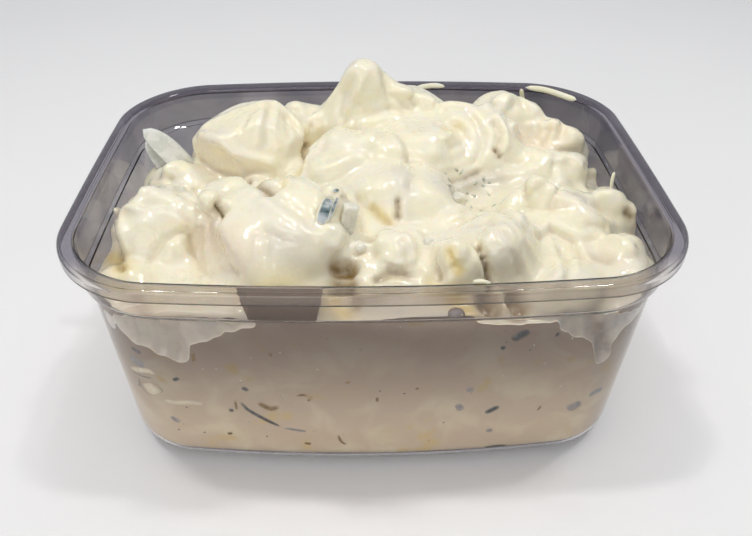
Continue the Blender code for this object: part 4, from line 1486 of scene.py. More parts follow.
@dataclass
class SaladHeap:
    """The heap: a packed core and its lumps, melted together, sculpted and pressed into the tub."""

    tub: DeliTub
    lumps: tuple[Lump, ...] = LUMPS
    dollops: tuple[Lump, ...] = DOLLOPS
    strokes: tuple[Stroke, ...] = STROKES
    stains: tuple[Stain, ...] = STAINS
    level_front: float = 50.0
    level_side: float = 43.0
    level_back: float = 38.0
    crown: float = 51.0
    swell: float = 1.2
    swell_length: float = 9.0
    core_rings: int = 8
    core_steps: int = 96
    core_power: float = 0.45
    core_over_x: float = 1.0
    core_over_y: float = 2.0
    sides: int = 30
    row_share: float = 0.62
    cut_depth: Pair = (0.62, 0.84)
    cut_low: float = -0.3
    cut_share: float = 0.8
    facet_share: float = 0.93
    rough_scale: float = 1.7
    pole_gap: float = 0.02
    grain: float = 0.68
    melt_steps: int = 3
    settle_steps: int = 1
    pour_grain: float = 1.5
    hug: float = 0.8
    pour_smooth: int = 3
    pours: tuple[tuple[int, float], ...] = ((90, 0.85), (40, 0.6))
    pour_sunk: float = 1.3
    last_fill: tuple[int, float] = (30, 0.15)
    filler_seed: int = 41
    filler_count: int = 40
    filler_spacing: float = 8.5
    filler_tries: int = 4000
    filler_x: Pair = (-58.0, 58.0)
    filler_y: Pair = (-42.0, 41.0)
    filler_half: Pair = (4.0, 7.0)
    filler_stretch: Pair = (0.9, 1.4)
    filler_flat: float = 0.8
    filler_sunk: float = 0.9
    space_top: float = 1.5
    dome_edge: float = 44.0
    dome_rise: float = 17.0
    dome_half: Pair = (64.0, 50.0)
    dome_centre_y: float = -4.0
    dome_powers: Pair = (0.8, 0.7)
    tone_steps: int = 12
    fine_steps: int = 5
    fine_hollow_shade: Pair = (0.5, 0.27)
    broad_steps: int = 60
    broad_hollow_shade: tuple[float, float, float] = (0.4, 3.0, 0.32)
    crease_width: float = 0.16
    crease_sunk: float = 0.6
    calm_scale: float = 0.07
    calm_from: Pair = (0.42, 0.58)
    relief: dict[str, float] = field(default_factory=lambda: {
        "Swell Height": 0.7, "Swell Size": 11.0, "Fold Height": 0.05, "Fold Size": 9.0,
        "Grain Height": 0.16, "Grain Size": 1.9})

    def core_level(self, x: float, y: float) -> float:
        """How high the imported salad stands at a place: high in front, lower behind.

        Args:
            x: The place's x.
            y: The place's y.

        Returns:
            The height.
        """
        reach = 2 * y / self.tub.width
        end = self.level_back if reach > 0 else self.level_front
        level = self.level_side + (end - self.level_side) * abs(reach)
        return level + self.swell * math.sin(x / self.swell_length)

    def core(self) -> Scaffold:
        """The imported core, a little larger than the tub's inside, with a low crown.

        Returns:
            Its points and faces.
        """
        half = self.tub.section(self.tub.height / 2).half_x + self.tub.taper + self.core_over_x
        half_y = half - (self.tub.length - self.tub.width) / 2 + self.core_over_y
        edge = []
        for step in range(self.core_steps):
            angle = 2 * math.pi * step / self.core_steps
            cosine, sine = math.cos(angle), math.sin(angle)
            edge.append((half * math.copysign(abs(cosine) ** self.core_power, cosine),
                         half_y * math.copysign(abs(sine) ** self.core_power, sine)))
        points = [(x, y, 0.0) for x, y in edge]
        for ring in range(self.core_rings):
            share = ring / self.core_rings
            rise = math.sin(share * math.pi / 2)
            points += [(x * (1 - share), y * (1 - share),
                        self.core_level(x, y) * (1 - rise) + self.crown * rise) for x, y in edge]
        return Scaffold(points, Scaffold.bands(self.core_rings + 1, self.core_steps))

    def dome_height(self, x: float, y: float) -> float:
        """The rough height of the heap's top over a place.

        Args:
            x: The place's x.
            y: The place's y.

        Returns:
            The height.
        """
        across = max(0.0, 1 - (x / self.dome_half[0]) ** 2)
        along = max(0.0, 1 - ((y - self.dome_centre_y) / self.dome_half[1]) ** 2)
        return self.dome_edge + self.dome_rise * across ** self.dome_powers[0] * along ** self.dome_powers[1]

    def fillers(self) -> list[Lump]:
        """Smaller chunks and dollops between the main ones, spread evenly by a seeded draw.

        Returns:
            The fillers.
        """
        rng = random.Random(self.filler_seed)
        placed: list[Lump] = []
        for _ in range(self.filler_tries):
            x, y = rng.uniform(*self.filler_x), rng.uniform(*self.filler_y)
            size = rng.uniform(*self.filler_half)
            stretch, turn = rng.uniform(*self.filler_stretch), rng.uniform(0, 180)
            near = any(math.hypot(x - o.centre[0], y - o.centre[1]) < self.filler_spacing for o in placed)
            if not near and len(placed) < self.filler_count:
                centre = (x, y, self.dome_height(x, y) - size * self.filler_sunk)
                half = (size * stretch, size, size * self.filler_flat)
                placed.append(Lump(f"filler_{len(placed):02d}", centre, half, turn, 0, 2))
        return placed

    def chunk(self, lump: Lump) -> Scaffold:
        """One chunk: a ball with a few flattened cuts and an uneven coat.

        Args:
            lump: The chunk's place, sizes and unevenness.

        Returns:
            Its points and faces.
        """
        rng = random.Random(lump.name)
        planes = []
        for _ in range(lump.cuts):
            way = Vector((rng.uniform(-1, 1), rng.uniform(-1, 1), rng.uniform(self.cut_low, 1))).normalized()
            planes.append((way, rng.uniform(*self.cut_depth)))
        planes += [(Vector(way).normalized(), depth) for way, depth in lump.facets]
        drift = Vector([rng.uniform(-50, 50) for _ in range(3)])
        turn = Euler((0, math.radians(lump.tilt), math.radians(lump.turn))).to_matrix()
        flat = self.facet_share if lump.facets else self.cut_share
        points = []
        rows = round(self.sides * self.row_share)
        for row in range(rows + 1):
            down = math.pi * min(max(row, self.pole_gap), rows - self.pole_gap) / rows
            for step in range(self.sides):
                angle = 2 * math.pi * step / self.sides
                way = Vector((math.sin(down) * math.cos(angle), math.sin(down) * math.sin(angle),
                              -math.cos(down)))
                place = way * (1 + lump.rough * noise.noise(way * self.rough_scale + drift) * 2)
                for normal, depth in planes:
                    over = place.dot(normal) - depth
                    if over > 0:
                        place -= normal * over * flat
                narrow = 1 - lump.taper * (place.z + 1) / 2
                sized = Vector((place.x * narrow * lump.half[0], place.y * narrow * lump.half[1],
                                place.z * lump.half[2]))
                points.append(tuple(turn @ sized + Vector(lump.centre)))
        return Scaffold(points, Scaffold.bands(rows + 1, self.sides))

    def remeshed(self, meshes: tuple[Mesh, ...], grain: float) -> SoftSurface:
        """One even skin round all the given meshes.

        Args:
            meshes: The closed meshes.
            grain: The skin's grain in millimetres.

        Returns:
            The skin.
        """
        body = bmesh.new()
        for mesh in meshes:
            body.from_mesh(mesh)
        rough = add_object("salad_rough", mesh_from(body, "salad_rough"))
        remesh = rough.modifiers.new("melt", "REMESH")
        remesh.mode = "VOXEL"
        remesh.voxel_size = grain * MM
        surface = SoftSurface(settled_mesh(rough))
        bpy.data.objects.remove(rough)
        return surface

    def melted(self) -> SoftSurface:
        """One soft skin over the core and all the lumps, with dressing poured into the gaps.

        Returns:
            The skin, cut a little larger than the tub's inside.
        """
        whole = self.core()
        for lump in (*self.lumps, *self.dollops, *self.fillers()):
            whole.add(self.chunk(lump))
        rough = whole.mesh("salad_lumps")
        poured = self.remeshed((rough,), self.pour_grain)
        poured.smooth(self.pour_smooth)
        for steps, share in self.pours:
            poured.fill(steps, share)
        poured.points -= poured.normals() * self.pour_sunk
        poured.store()
        whole_mesh = self.remeshed((rough, poured.mesh), self.grain).mesh
        hugging = self.pressed(add_object("salad_in_tub", whole_mesh), self.space(-self.hug), None)
        surface = self.remeshed((hugging,), self.grain)
        surface.smooth(self.melt_steps)
        surface.fill(*self.last_fill)
        surface.smooth(1)
        return surface

    def sculpt(self, surface: SoftSurface) -> None:
        """Draw the strokes into the skin.

        Args:
            surface: The skin.
        """
        normals = surface.normals()
        for stroke in self.strokes:
            surface.draw(stroke, normals)
        surface.smooth(self.settle_steps)
        surface.store()

    def relief_tree(self) -> NodeTree:
        """The dressing's swells, folds and fine grain, as offsets along the skin's normals.

        Returns:
            The tree, with the inputs Skin, Material and those that the relief field names.
        """
        tree = bpy.data.node_groups.new("dressing_relief", "GeometryNodeTree")
        declare(tree, "Skin", "NodeSocketGeometry")
        for name in self.relief:
            declare(tree, name, "NodeSocketFloat")
        declare(tree, "Material", "NodeSocketMaterial")
        declare(tree, "Relief", "NodeSocketGeometry", "OUTPUT")
        sheet = NodeSheet(tree)
        given = sheet.node("NodeGroupInput").outputs
        place = sheet.scaled(sheet.node("GeometryNodeInputPosition").outputs[0], 1 / MM)

        def wave(title: str, detail: float, distortion: float) -> Socket:
            """A noise value of the titled size."""
            return sheet.noise(place, sheet.math("DIVIDE", 1.0, given[f"{title} Size"]), detail, distortion)

        swell = sheet.math("SUBTRACT", wave("Swell", 1.0, 0.3), 0.5)
        crease = sheet.math("ABSOLUTE", sheet.math("SUBTRACT", wave("Fold", 1.0, 1.1), 0.5))
        fold = sheet.math("SUBTRACT", sheet.ramp(crease, 0.0, self.crease_width), self.crease_sunk)
        calm = sheet.ramp(sheet.noise(place, self.calm_scale, 1.0), *self.calm_from)
        grain = sheet.math("MULTIPLY", sheet.math("SUBTRACT", wave("Grain", 2.0, 0.5), 0.5), calm)
        height = sheet.math("MULTIPLY", swell, given["Swell Height"])
        height = sheet.math("ADD", height, sheet.math("MULTIPLY", fold, given["Fold Height"]))
        height = sheet.math("ADD", height, sheet.math("MULTIPLY", grain, given["Grain Height"]))
        normal = sheet.node("GeometryNodeInputNormal").outputs[0]
        offset = sheet.scaled(normal, sheet.math("MULTIPLY", height, MM))
        move = sheet.node("GeometryNodeSetPosition", {"Geometry": given["Skin"], "Offset": offset})
        RingLoft.finish_tree(sheet, move.outputs[0], given["Material"])
        return tree

    def tones(self, surface: SoftSurface) -> np.ndarray:
        """A random tone for each chunk, softened where two chunks meet.

        Args:
            surface: The skin.

        Returns:
            The tones at its points.
        """
        best = np.full(len(surface.points), np.inf)
        tone = np.zeros(len(surface.points))
        for lump in (*self.lumps, *self.dollops, *self.fillers()):
            gap = np.linalg.norm((surface.points - np.array(lump.centre)) / np.array(lump.half), axis=1)
            nearer = gap < best
            best[nearer] = gap[nearer]
            tone[nearer] = random.Random(lump.name + "tone").random()
        for _ in range(self.tone_steps):
            tone += (surface.neighbours_mean(tone[:, None])[:, 0] - tone) * RELAX
        return tone

    def tints(self, surface: SoftSurface) -> dict[str, np.ndarray]:
        """How strong each tint is at each point.

        Args:
            surface: The skin, before it is sculpted.

        Returns:
            The strengths by the tints' attribute names.
        """
        values = {tint.value: np.zeros(len(surface.points)) for tint in Tint}
        for stain in self.stains:
            gap, _ = path_measure(surface.points, np.array(stain.path, float))
            value = values[stain.tint.value]
            np.maximum(value, stain.strength * np.exp(-(gap / stain.width) ** 2), out=value)
        return values

    def build(self) -> Object:
        """Make the heap, press it into the tub and let it stand for its CAD node.

        Returns:
            The heap.
        """
        dressing, pressed = DressingFinish().material(), PressedFinish().material()
        surface = self.melted()
        tints = self.tints(surface)
        self.sculpt(surface)
        holder = add_object("salad_skin", surface.mesh)
        relieved = run_nodes(holder, self.relief_tree(), {**self.relief, "Material": dressing})
        bpy.data.objects.remove(holder)
        surface = SoftSurface(relieved)
        # Painted shade: hollow grows with how far each point lies below its smoothed surroundings, fine and
        # broad, and darkens the dressing there.
        fine, broad = surface.hollowness(self.fine_steps), surface.hollowness(self.broad_steps)
        fine_depth, fine_share = self.fine_hollow_shade
        least, broad_depth, broad_share = self.broad_hollow_shade
        hollow = (np.clip(fine / fine_depth, 0, 1) * fine_share
                  + np.clip((broad - least) / broad_depth, 0, 1) * broad_share)
        tone = self.tones(surface)
        mesh = self.pressed(add_object("salad_relief", relieved), self.space(-self.tub.into_wall), pressed)
        heap = add_object("potato_salad_heap", mesh)
        self.carry(surface, {"hollow": hollow, "tone": tone, **tints}, mesh)
        self.mark_edges(mesh)
        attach(heap, BODY)
        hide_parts("potato_salad")
        log.info("potato_salad_heap: %d faces, %s", len(mesh.polygons), [m.name for m in mesh.materials])
        return heap

    def space(self, inset: float) -> list[Section]:
        """The closed skin of the tub's space, an inset in from its inner wall."""
        return self.tub.inside(inset, self.tub.height * self.space_top)

    def pressed(self, salad: Object, space: list[Section], finish: Material | None) -> Mesh:
        """Press a salad into a space, which takes the object away.

        Args:
            salad: The closed salad.
            space: The closed skin of the space.
            finish: The pressed face's material, or None.

        Returns:
            The pressed salad's mesh.
        """
        inside = self.tub.loft.mesh("tub_inside", space, finish)
        cutter = add_object("tub_inside", inside)
        trim = salad.modifiers.new("press", "BOOLEAN")
        trim.operation = "INTERSECT"
        trim.object = cutter
        trim.solver = "MANIFOLD"
        trim.material_mode = "TRANSFER"
        mesh = settled_mesh(salad)
        for used in (cutter, salad):
            bpy.data.objects.remove(used)
        return mesh

    @staticmethod
    def carry(surface: SoftSurface, values: dict[str, np.ndarray], mesh: Mesh) -> None:
        """Store the untrimmed skin's values on the trimmed mesh, by the nearest point.

        Args:
            surface: The untrimmed skin.
            values: Its values by name.
            mesh: The trimmed mesh.
        """
        tree = KDTree(len(surface.points))
        for i, point in enumerate(surface.points):
            tree.insert(point * MM, i)
        tree.balance()
        nearest = np.array([tree.find(vertex.co)[1] for vertex in mesh.vertices])
        for name, value in values.items():
            stored = mesh.attributes.new(name, "FLOAT", "POINT")
            stored.data.foreach_set("value", value[nearest].astype(np.float32))

    @staticmethod
    def mark_edges(mesh: Mesh) -> None:
        """Shade smooth, but sharp where the open salad meets the pressed face.

        Args:
            mesh: The salad's mesh.
        """
        mesh.shade_smooth()
        body = bmesh.new()
        body.from_mesh(mesh)
        for edge in body.edges:
            edge.smooth = len({face.material_index for face in edge.link_faces}) == 1
        body.to_mesh(mesh)
        body.free()


LEAST_FULL = 0.03
RIM_SHARE = 1.6


@dataclass(frozen=True)
class Blade:
    """A thin swept piece, such as a cut of chive, a slip of onion or a smear, along a short path.

    facing is the way that its broad side looks; a blade that is laid takes both path and facing from the
    ground under it, lift millimetres over it. ends are the shares of its length over which it narrows.
    """

    path: tuple[Point, ...]
    width: float
    thickness: float
    cup: float = 0.0
    lift: float = 0.0
    laid: bool = True
    facing: Point = (0.0, 0.0, 1.0)
    ends: Pair = (0.15, 0.15)
    steps: int = 14
    around: int = 12

    def spine(self) -> list[Vector]:
        """Points evenly along a smooth curve through the path.

        Returns:
            The points.
        """
        knots = [Vector(p) for p in self.path]
        knots = [knots[0] * 2 - knots[1], *knots, knots[-1] * 2 - knots[-2]]
        spans = len(knots) - 3
        points = []
        for step in range(self.steps + 1):
            along = min(step / self.steps * spans, spans - 1e-6)
            i, t = int(along), along - int(along)
            a, b, c, d = knots[i:i + 4]
            points.append((b * 2 + (c - a) * t + (a * 2 - b * 5 + c * 4 - d) * t ** 2
                           + (b * 3 - a - c * 3 + d) * t ** 3) / 2)
        return points

    def fullness(self, share: float) -> float:
        """How wide the blade is at a share of its length.

        Args:
            share: The share of the length.

        Returns:
            The share of the full width.
        """
        start, end = self.ends
        rise = min(share / start, 1.0) if start else 1.0
        fall = min((1 - share) / end, 1.0) if end else 1.0
        return max(math.sqrt(1 - (1 - rise) ** 2) * math.sqrt(1 - (1 - fall) ** 2), LEAST_FULL)

    def scaffold(self, ground: BVHTree) -> Scaffold:
        """Sweep the blade.

        Args:
            ground: The salad's surface, in metres.

        Returns:
            The blade's points and faces.
        """
        spine, facings = self.spine(), [Vector(self.facing)] * (self.steps + 1)
        if self.laid:
            found = [ground.find_nearest(point * MM) for point in spine]
            facings = [normal for _, normal, _, _ in found]
            spine = [place / MM + normal * self.lift for place, normal, _, _ in found]
        points = []
        for i, centre in enumerate(spine):
            way = (spine[min(i + 1, self.steps)] - spine[max(i - 1, 0)]).normalized()
            across = way.cross(facings[i]).normalized()
            up = across.cross(way).normalized()
            full = self.fullness(i / self.steps)
            for step in range(self.around):
                angle = -2 * math.pi * step / self.around
                x, y = math.cos(angle) * full, math.sin(angle) * min(full * RIM_SHARE, 1.0)
                points.append(tuple(centre + across * (x * self.width / 2)
                                    + up * (y * self.thickness / 2 + self.cup * x * x * self.width / 2)))
        return Scaffold(points, Scaffold.bands(self.steps + 1, self.around))


PATCH_FADE = 0.08
FULL_REACH = 0.7
MOST_TURN = (0.3, 0.3, 2 * math.pi)


@dataclass(frozen=True)
class ScatterRule:
    """How Geometry Nodes sprinkle flakes on one kind of the salad's surface."""

    name: str
    side: Side
    per_square_mm: float
    seed: int
    least: Point
    most: Point
    patch_size: float
    patch_edge: float
    lift: float
    centre: Point = (0.0, 0.0, 0.0)
    reach: float = 1000.0
    elsewhere: float = 0.0

    def tree(self) -> NodeTree:
        """The shared sprinkling tree, built once.

        Returns:
            The tree, with an input for each number of the rule.
        """
        title = "flake_scatter"
        if title in bpy.data.node_groups:
            return bpy.data.node_groups[title]
        tree = bpy.data.node_groups.new(title, "GeometryNodeTree")
        declare(tree, "Ground", "NodeSocketGeometry")
        for name, kind in (("Side", "Int"), ("Density", "Float"), ("Seed", "Int"), ("Least", "Vector"),
                           ("Most", "Vector"), ("Patch Size", "Float"), ("Patch Edge", "Float"),
                           ("Lift", "Float"), ("Centre", "Vector"), ("Reach", "Float"),
                           ("Elsewhere", "Float"), ("Material", "Material")):
            declare(tree, name, f"NodeSocket{kind}")
        declare(tree, "Flakes", "NodeSocketGeometry", "OUTPUT")
        sheet = NodeSheet(tree)
        given = sheet.node("NodeGroupInput").outputs
        side = sheet.node("GeometryNodeInputMaterialIndex").outputs[0]
        chosen = sheet.node("FunctionNodeCompare", {2: side, 3: given["Side"]}, data_type="INT",
                            operation="EQUAL")
        place = sheet.scaled(sheet.node("GeometryNodeInputPosition").outputs[0], 1 / MM)
        patch = sheet.noise(place, sheet.math("DIVIDE", 1.0, given["Patch Size"]), 1.0)
        edge = sheet.math("ADD", given["Patch Edge"], PATCH_FADE)
        share = sheet.ramp(patch, given["Patch Edge"], edge)
        away = sheet.node("ShaderNodeVectorMath", {0: place, 1: given["Centre"]}, operation="DISTANCE")
        full = sheet.math("MULTIPLY", given["Reach"], FULL_REACH)
        zone = sheet.ramp(away.outputs["Value"], given["Reach"], full, given["Elsewhere"], 1.0)
        share = sheet.math("MULTIPLY", share, zone)
        inputs = {"Mesh": given["Ground"], "Selection": chosen.outputs[0],
                  "Density": sheet.math("MULTIPLY", given["Density"], share), "Seed": given["Seed"]}
        spread = sheet.node("GeometryNodeDistributePointsOnFaces", inputs, distribute_method="RANDOM")
        size, spin = (sheet.node("FunctionNodeRandomValue", {0: low, 1: high}, data_type="FLOAT_VECTOR")
                      for low, high in ((given["Least"], given["Most"]), ((0.0, 0.0, 0.0), MOST_TURN)))
        for chance in (size, spin):
            sheet.feed(next(i for i in chance.inputs if i.name == "Seed"), given["Seed"])
        turn = sheet.node("FunctionNodeRotateRotation", {0: spread.outputs["Rotation"], 1: spin.outputs[0]},
                          rotation_space="LOCAL")
        raise_by = sheet.scaled(spread.outputs["Normal"], given["Lift"])
        raised = sheet.node("GeometryNodeSetPosition", {"Geometry": spread.outputs["Points"],
                                                        "Offset": raise_by})
        flake = sheet.node("GeometryNodeMeshIcoSphere", {"Radius": 0.5 * MM, "Subdivisions": 1})
        place_all = sheet.node("GeometryNodeInstanceOnPoints", {
            "Points": raised.outputs[0], "Instance": flake.outputs[0], "Rotation": turn.outputs[0],
            "Scale": size.outputs[0]})
        RingLoft.finish_tree(sheet, place_all.outputs[0], given["Material"])
        return tree

    def mesh(self, heap: Object, finish: Material) -> Mesh:
        """Sprinkle the flakes on the heap.

        Args:
            heap: The finished heap, which is left as it is.
            finish: The flakes' material.

        Returns:
            The flakes as one plain mesh.
        """
        copy = add_object(self.name + "_ground", heap.data.copy())
        mesh = run_nodes(copy, self.tree(), {
            "Side": self.side.value, "Density": self.per_square_mm / MM ** 2, "Seed": self.seed,
            "Least": self.least, "Most": self.most, "Patch Size": self.patch_size,
            "Patch Edge": self.patch_edge, "Lift": self.lift * MM, "Centre": self.centre, "Reach": self.reach,
            "Elsewhere": self.elsewhere, "Material": finish})
        bpy.data.objects.remove(copy)
        return mesh


@dataclass(frozen=True)
class HerbFinish:
    """Cut chive in dressing: blue-grey green with fine veins, paler where it is coated, sunk at its edge.

    Where sunk_in is given, the piece lies behind the tub's wall and its edge fades into that finish.
    """

    leaf: Colour = from_srgb(118, 138, 142)
    dark: Colour = from_srgb(74, 92, 96)
    coated: Colour = from_srgb(196, 202, 204)
    sunk_in: PressedFinish | None = None
    edge_from: Pair = (0.3, 0.9)
    coat_edge: Pair = (0.52, 0.72)
    coated_end: float = 0.0
    cream: Colour = DressingFinish.cream
    roughness: float = 0.32
    wet: float = 0.4
    vein_scale: float = 1.1
    vein_from: Pair = (0.35, 0.65)
    coat_scale: float = 0.45
    end_coat: float = 0.9

    def material(self, name: str) -> Material:
        """Build the herb's material.

        Args:
            name: The material's name.

        Returns:
            The material.
        """
        material, sheet, surface = new_material(name)
        place = object_place(sheet)
        vein = sheet.ramp(sheet.noise(place, self.vein_scale, 2.0), *self.vein_from)
        coat = sheet.ramp(sheet.noise(place, self.coat_scale, 2.0), *self.coat_edge)
        if self.coated_end:
            end = sheet.ramp(sheet.stored("along"), self.coated_end, self.coated_end / 2, 0.0, self.end_coat)
            coat = sheet.math("MAXIMUM", coat, end)
        colour = sheet.blend(coat, sheet.blend(vein, self.dark, self.leaf), self.coated)
        around = self.sunk_in.colour(sheet) if self.sunk_in else self.cream
        edge = sheet.ramp(sheet.stored("edge"), *self.edge_from)
        sheet.fill(surface, {
            "Base Color": sheet.blend(edge, colour, around),
            "Roughness": sheet.ramp(vein, 0.0, 1.0, self.roughness - 0.06, self.roughness + 0.1),
            "Subsurface Weight": 0.15, "Subsurface Scale": 0.8 * MM, "Coat Weight": self.wet})
        return material


@dataclass(frozen=True)
class OnionFinish:
    """Raw onion: a translucent white with a faint grey-green edge and fine ribs."""

    flesh: Colour = from_srgb(218, 220, 212)
    edge: Colour = from_srgb(160, 172, 164)
    milk: Colour = from_srgb(236, 236, 228)
    edge_from: Pair = (0.7, 1.0)
    edge_share: float = 0.6
    rib_scale: float = 0.4
    rib_from: Pair = (0.35, 0.65)
    roughness: float = 0.2

    def material(self, name: str) -> Material:
        """Build the onion's material.

        Args:
            name: The material's name.

        Returns:
            The material.
        """
        material, sheet, surface = new_material(name)
        rib = sheet.ramp(sheet.noise(object_place(sheet), self.rib_scale, 2.0, 0.6), *self.rib_from)
        edge = sheet.math("MULTIPLY", sheet.ramp(sheet.stored("across"), *self.edge_from), self.edge_share)
        sheet.fill(surface, {
            "Base Color": sheet.blend(edge, sheet.blend(rib, self.flesh, self.milk), self.edge),
            "Roughness": sheet.ramp(rib, 0.0, 1.0, self.roughness, self.roughness + 0.12),
            "Subsurface Weight": 0.55, "Subsurface Radius": (1.0, 1.0, 0.85),
            "Subsurface Scale": 2.0 * MM, "Coat Weight": 0.6, "Coat Roughness": 0.06})
        return material


SOFT_WIDTH = 1.9
SUNK = -0.06
STRIP = 0.3
SUNK_EDGE = (0.0, 0.78)


def strips(text: str) -> tuple[Blade, ...]:
    """Thin strips laid on the salad, from a table whose rows give a width and the path's points.

    Args:
        text: The table.

    Returns:
        The strips, a little wider than stated, as their edges fade.
    """
    made = []
    for line in text.strip().splitlines():
        width, *places = line.split()
        made.append(Blade(tuple(map(read_point, places)), float(width) * SOFT_WIDTH, STRIP, lift=SUNK,
                          ends=(0.4, 0.4), steps=8))
    return tuple(made)


FLECK_COLOURS = (from_srgb(212, 212, 196), from_srgb(192, 195, 180), from_srgb(226, 226, 208))
WALL_HERB_COLOURS = (from_srgb(76, 82, 86), from_srgb(46, 50, 56), from_srgb(112, 112, 110))
FAINT_HERB_COLOURS = (from_srgb(164, 160, 160), from_srgb(140, 140, 144), from_srgb(190, 182, 172))
BIT_COLOURS = (from_srgb(154, 128, 78), from_srgb(116, 90, 52), from_srgb(190, 172, 134))
PALE_COLOURS = (from_srgb(232, 224, 200), from_srgb(222, 212, 186), from_srgb(240, 236, 222))
SHADE_COLOURS = (from_srgb(150, 138, 124), from_srgb(138, 124, 108), from_srgb(166, 154, 140))
CHIVES = (
    Blade(((-11.7, -31.5, 63.2), (-10.6, -29.2, 64.9), (-9.4, -26.8, 66.8)), 3.1, 0.7, -0.05,
          laid=False, facing=(0.1, -0.62, 0.78), ends=(0.4, 0.2), around=20),
    Blade(((-9.9, -31.2, 63.7), (-8.9, -29.0, 65.4), (-7.8, -26.7, 67.1)), 0.9, 0.5,
          laid=False, facing=(0.1, -0.62, 0.78), ends=(0.5, 0.3)),
    Blade(((-9.0, -25.4, 67.6), (-8.0, -25.1, 67.9), (-7.2, -24.9, 68.0)), 0.9, 0.4, ends=(0.3, 0.5)),
)
WALL_HERBS = strips("""
0.85 -31.1,-44.2,24.2 -29.6,-44,21 -26.8,-44,18.3 -24.2,-44,16.2 -21.8,-44.1,14.4
1.3 -29.8,-44.5,27.4 -28.8,-44.6,28.5
0.9 -33.9,-43.6,20 -32.7,-43.8,20.5
0.9 -45.4,-43.3,29.7 -43.8,-43.6,30.9
1.1 -53.7,-41.1,38.1 -52.3,-41.9,37.6 -51.1,-42.5,37.5
1.7 29,-45.6,42.3 30.7,-45.6,44.3 32.7,-45.6,45.3
1 26.7,-45.6,40.3 27.9,-45.6,40.8
1 38.2,-45.1,43.7 39.1,-45,43.6
1.2 25.4,-44.1,18.3 27.2,-44.1,19.6 28.9,-44.1,20.9
1 26.4,-43.6,4.6 29.4,-43.4,5 33,-42.4,5.2
""")
FAINT_HERBS = strips("""
0.7 -21.8,-44.1,14.4 -18.7,-44.2,13.7 -15.9,-44.2,13.1
1.6 49.9,-41.4,20.6 51.9,-40.5,21.4 54.3,-39,21
2.2 45.4,-42.3,16.9 47.1,-42.1,18.4 48.9,-41.7,19.2
2 18.4,-44.7,20.7 20.4,-44.6,21.6
1.2 20.4,-45,26.9 22.2,-44.9,27.5
1.1 26.4,-43.6,11.7 28.3,-43.4,11.9
1.4 15,-46.5,49.8 16.4,-45.8,50.7 18.1,-46.3,49.8
1.2 -48.2,-41.7,16.5 -46.1,-42,14.3
2.2 -54.8,-40,34.7 -53.3,-40.9,33.4 -50.7,-42.3,33.7
""")
WALL_BITS = strips("""
1.3 -26.8,-44.4,23.7 -25.6,-44.4,22.3 -23.8,-44.4,21.3 -21.9,-44.6,22.5
0.7 -18.2,-45,25.8 -16.4,-45.1,26.5 -14.8,-45.1,25.5 -15.6,-45,23.8
1.2 -0.1,-45.3,24.8 0.8,-45.3,24.8
0.6 -8.8,-44.4,12.4 -8.2,-44.2,9.6 -6.8,-44.1,8
0.8 -17.1,-43.8,8.7 -15.2,-43.9,8.3
0.8 -35.4,-42.8,11.1 -33.9,-43,11.7
0.5 -22.7,-45.8,40.2 -22.6,-45.7,38.3
0.5 -6.8,-45.6,30.4 -5.7,-45.7,31
0.5 38.1,-43.1,17.9 38.8,-43.2,19.7
0.5 -32,-44.1,24.5 -32,-43.8,20.2
0.5 8.8,-45.5,28 9.7,-45.5,28.6
0.6 -39.3,-44.7,39.7 -39.7,-44.6,36.2
""")
WHITE_ONION = (from_srgb(226, 224, 208), from_srgb(196, 198, 180), from_srgb(240, 236, 220))
PALE_PATCHES = strips("""
1.3 -56.2,-38.6,29 -53.8,-40.3,30.3 -50.6,-42.2,31.6 -49.2,-42.6,30.6
3.4 -52.6,-41,27 -51.4,-41.6,24.8 -50.4,-42,23.2
1.2 -49.6,-42,22.3 -46.3,-42.6,21.8 -42.7,-43,22.2 -38.6,-43.4,21.8
""")
SHADE_LINES = strips("""
0.5 -56,-38.4,28.4 -53,-40.8,28.7 -50,-42.3,29.4
0.6 -54.2,-40,27.4 -54.4,-39.6,25 -55.2,-39,23.3
""")
ONION_SLIPS = (
    Blade(((-46.5, 14.0, 47.0), (-50.3, 14.3, 52.3), (-54.8, 15.0, 57.8), (-59.2, 15.4, 62.2)),
          6.2, 1.1, 0.3, laid=False, facing=(0.5, -0.75, 0.42), ends=(0.1, 0.5)),
    Blade(((-48.5, 13.2, 45.3), (-52.6, 13.8, 50.0), (-56.2, 14.6, 54.6), (-59.0, 15.1, 58.8)),
          5.4, 0.9, 0.28, laid=False, facing=(0.5, -0.75, 0.42), ends=(0.1, 0.6)),
)
CUBE_SIDES: tuple[tuple[Point, float], ...] = tuple(
    (way, 0.66) for way in ((1, 0, 0), (-1, 0, 0), (0, 1, 0), (0, -1, 0), (0, 0, 1), (0, 0, -1)))
ONION_BITS = (
    Lump("onion_cube", (20.3, -8.9, 54.7), (2.8, 2.3, 2.5), 28, 8, 0, 0.03, 0.0, CUBE_SIDES),
    Lump("onion_by_chive", (-5.7, -26.9, 61.8), (2.7, 2.2, 5.0), 10, 14, 0, 0.07, 0.15, CUBE_SIDES),
    Lump("onion_bead", (-3.2, -31.4, 57.0), (1.2, 1.1, 1.1), 10, 0, 1),
    Lump("onion_end", (12.1, -27.6, 55.5), (1.6, 1.3, 1.1), 30, 0, 3),
)
COLLAR_BLOCK = Lump("collar_block", (-19.2, -45.0, 54.5), (14.0, 5.0, 9.0), cuts=0, rough=0.0,
                    facets=(((13.7, 0, -1.9), 0.53), ((-13.7, 0, -1.9), 0.53), ((0, 3.1, 7.07), 0.27)))
COLLAR_GAP = 0.2
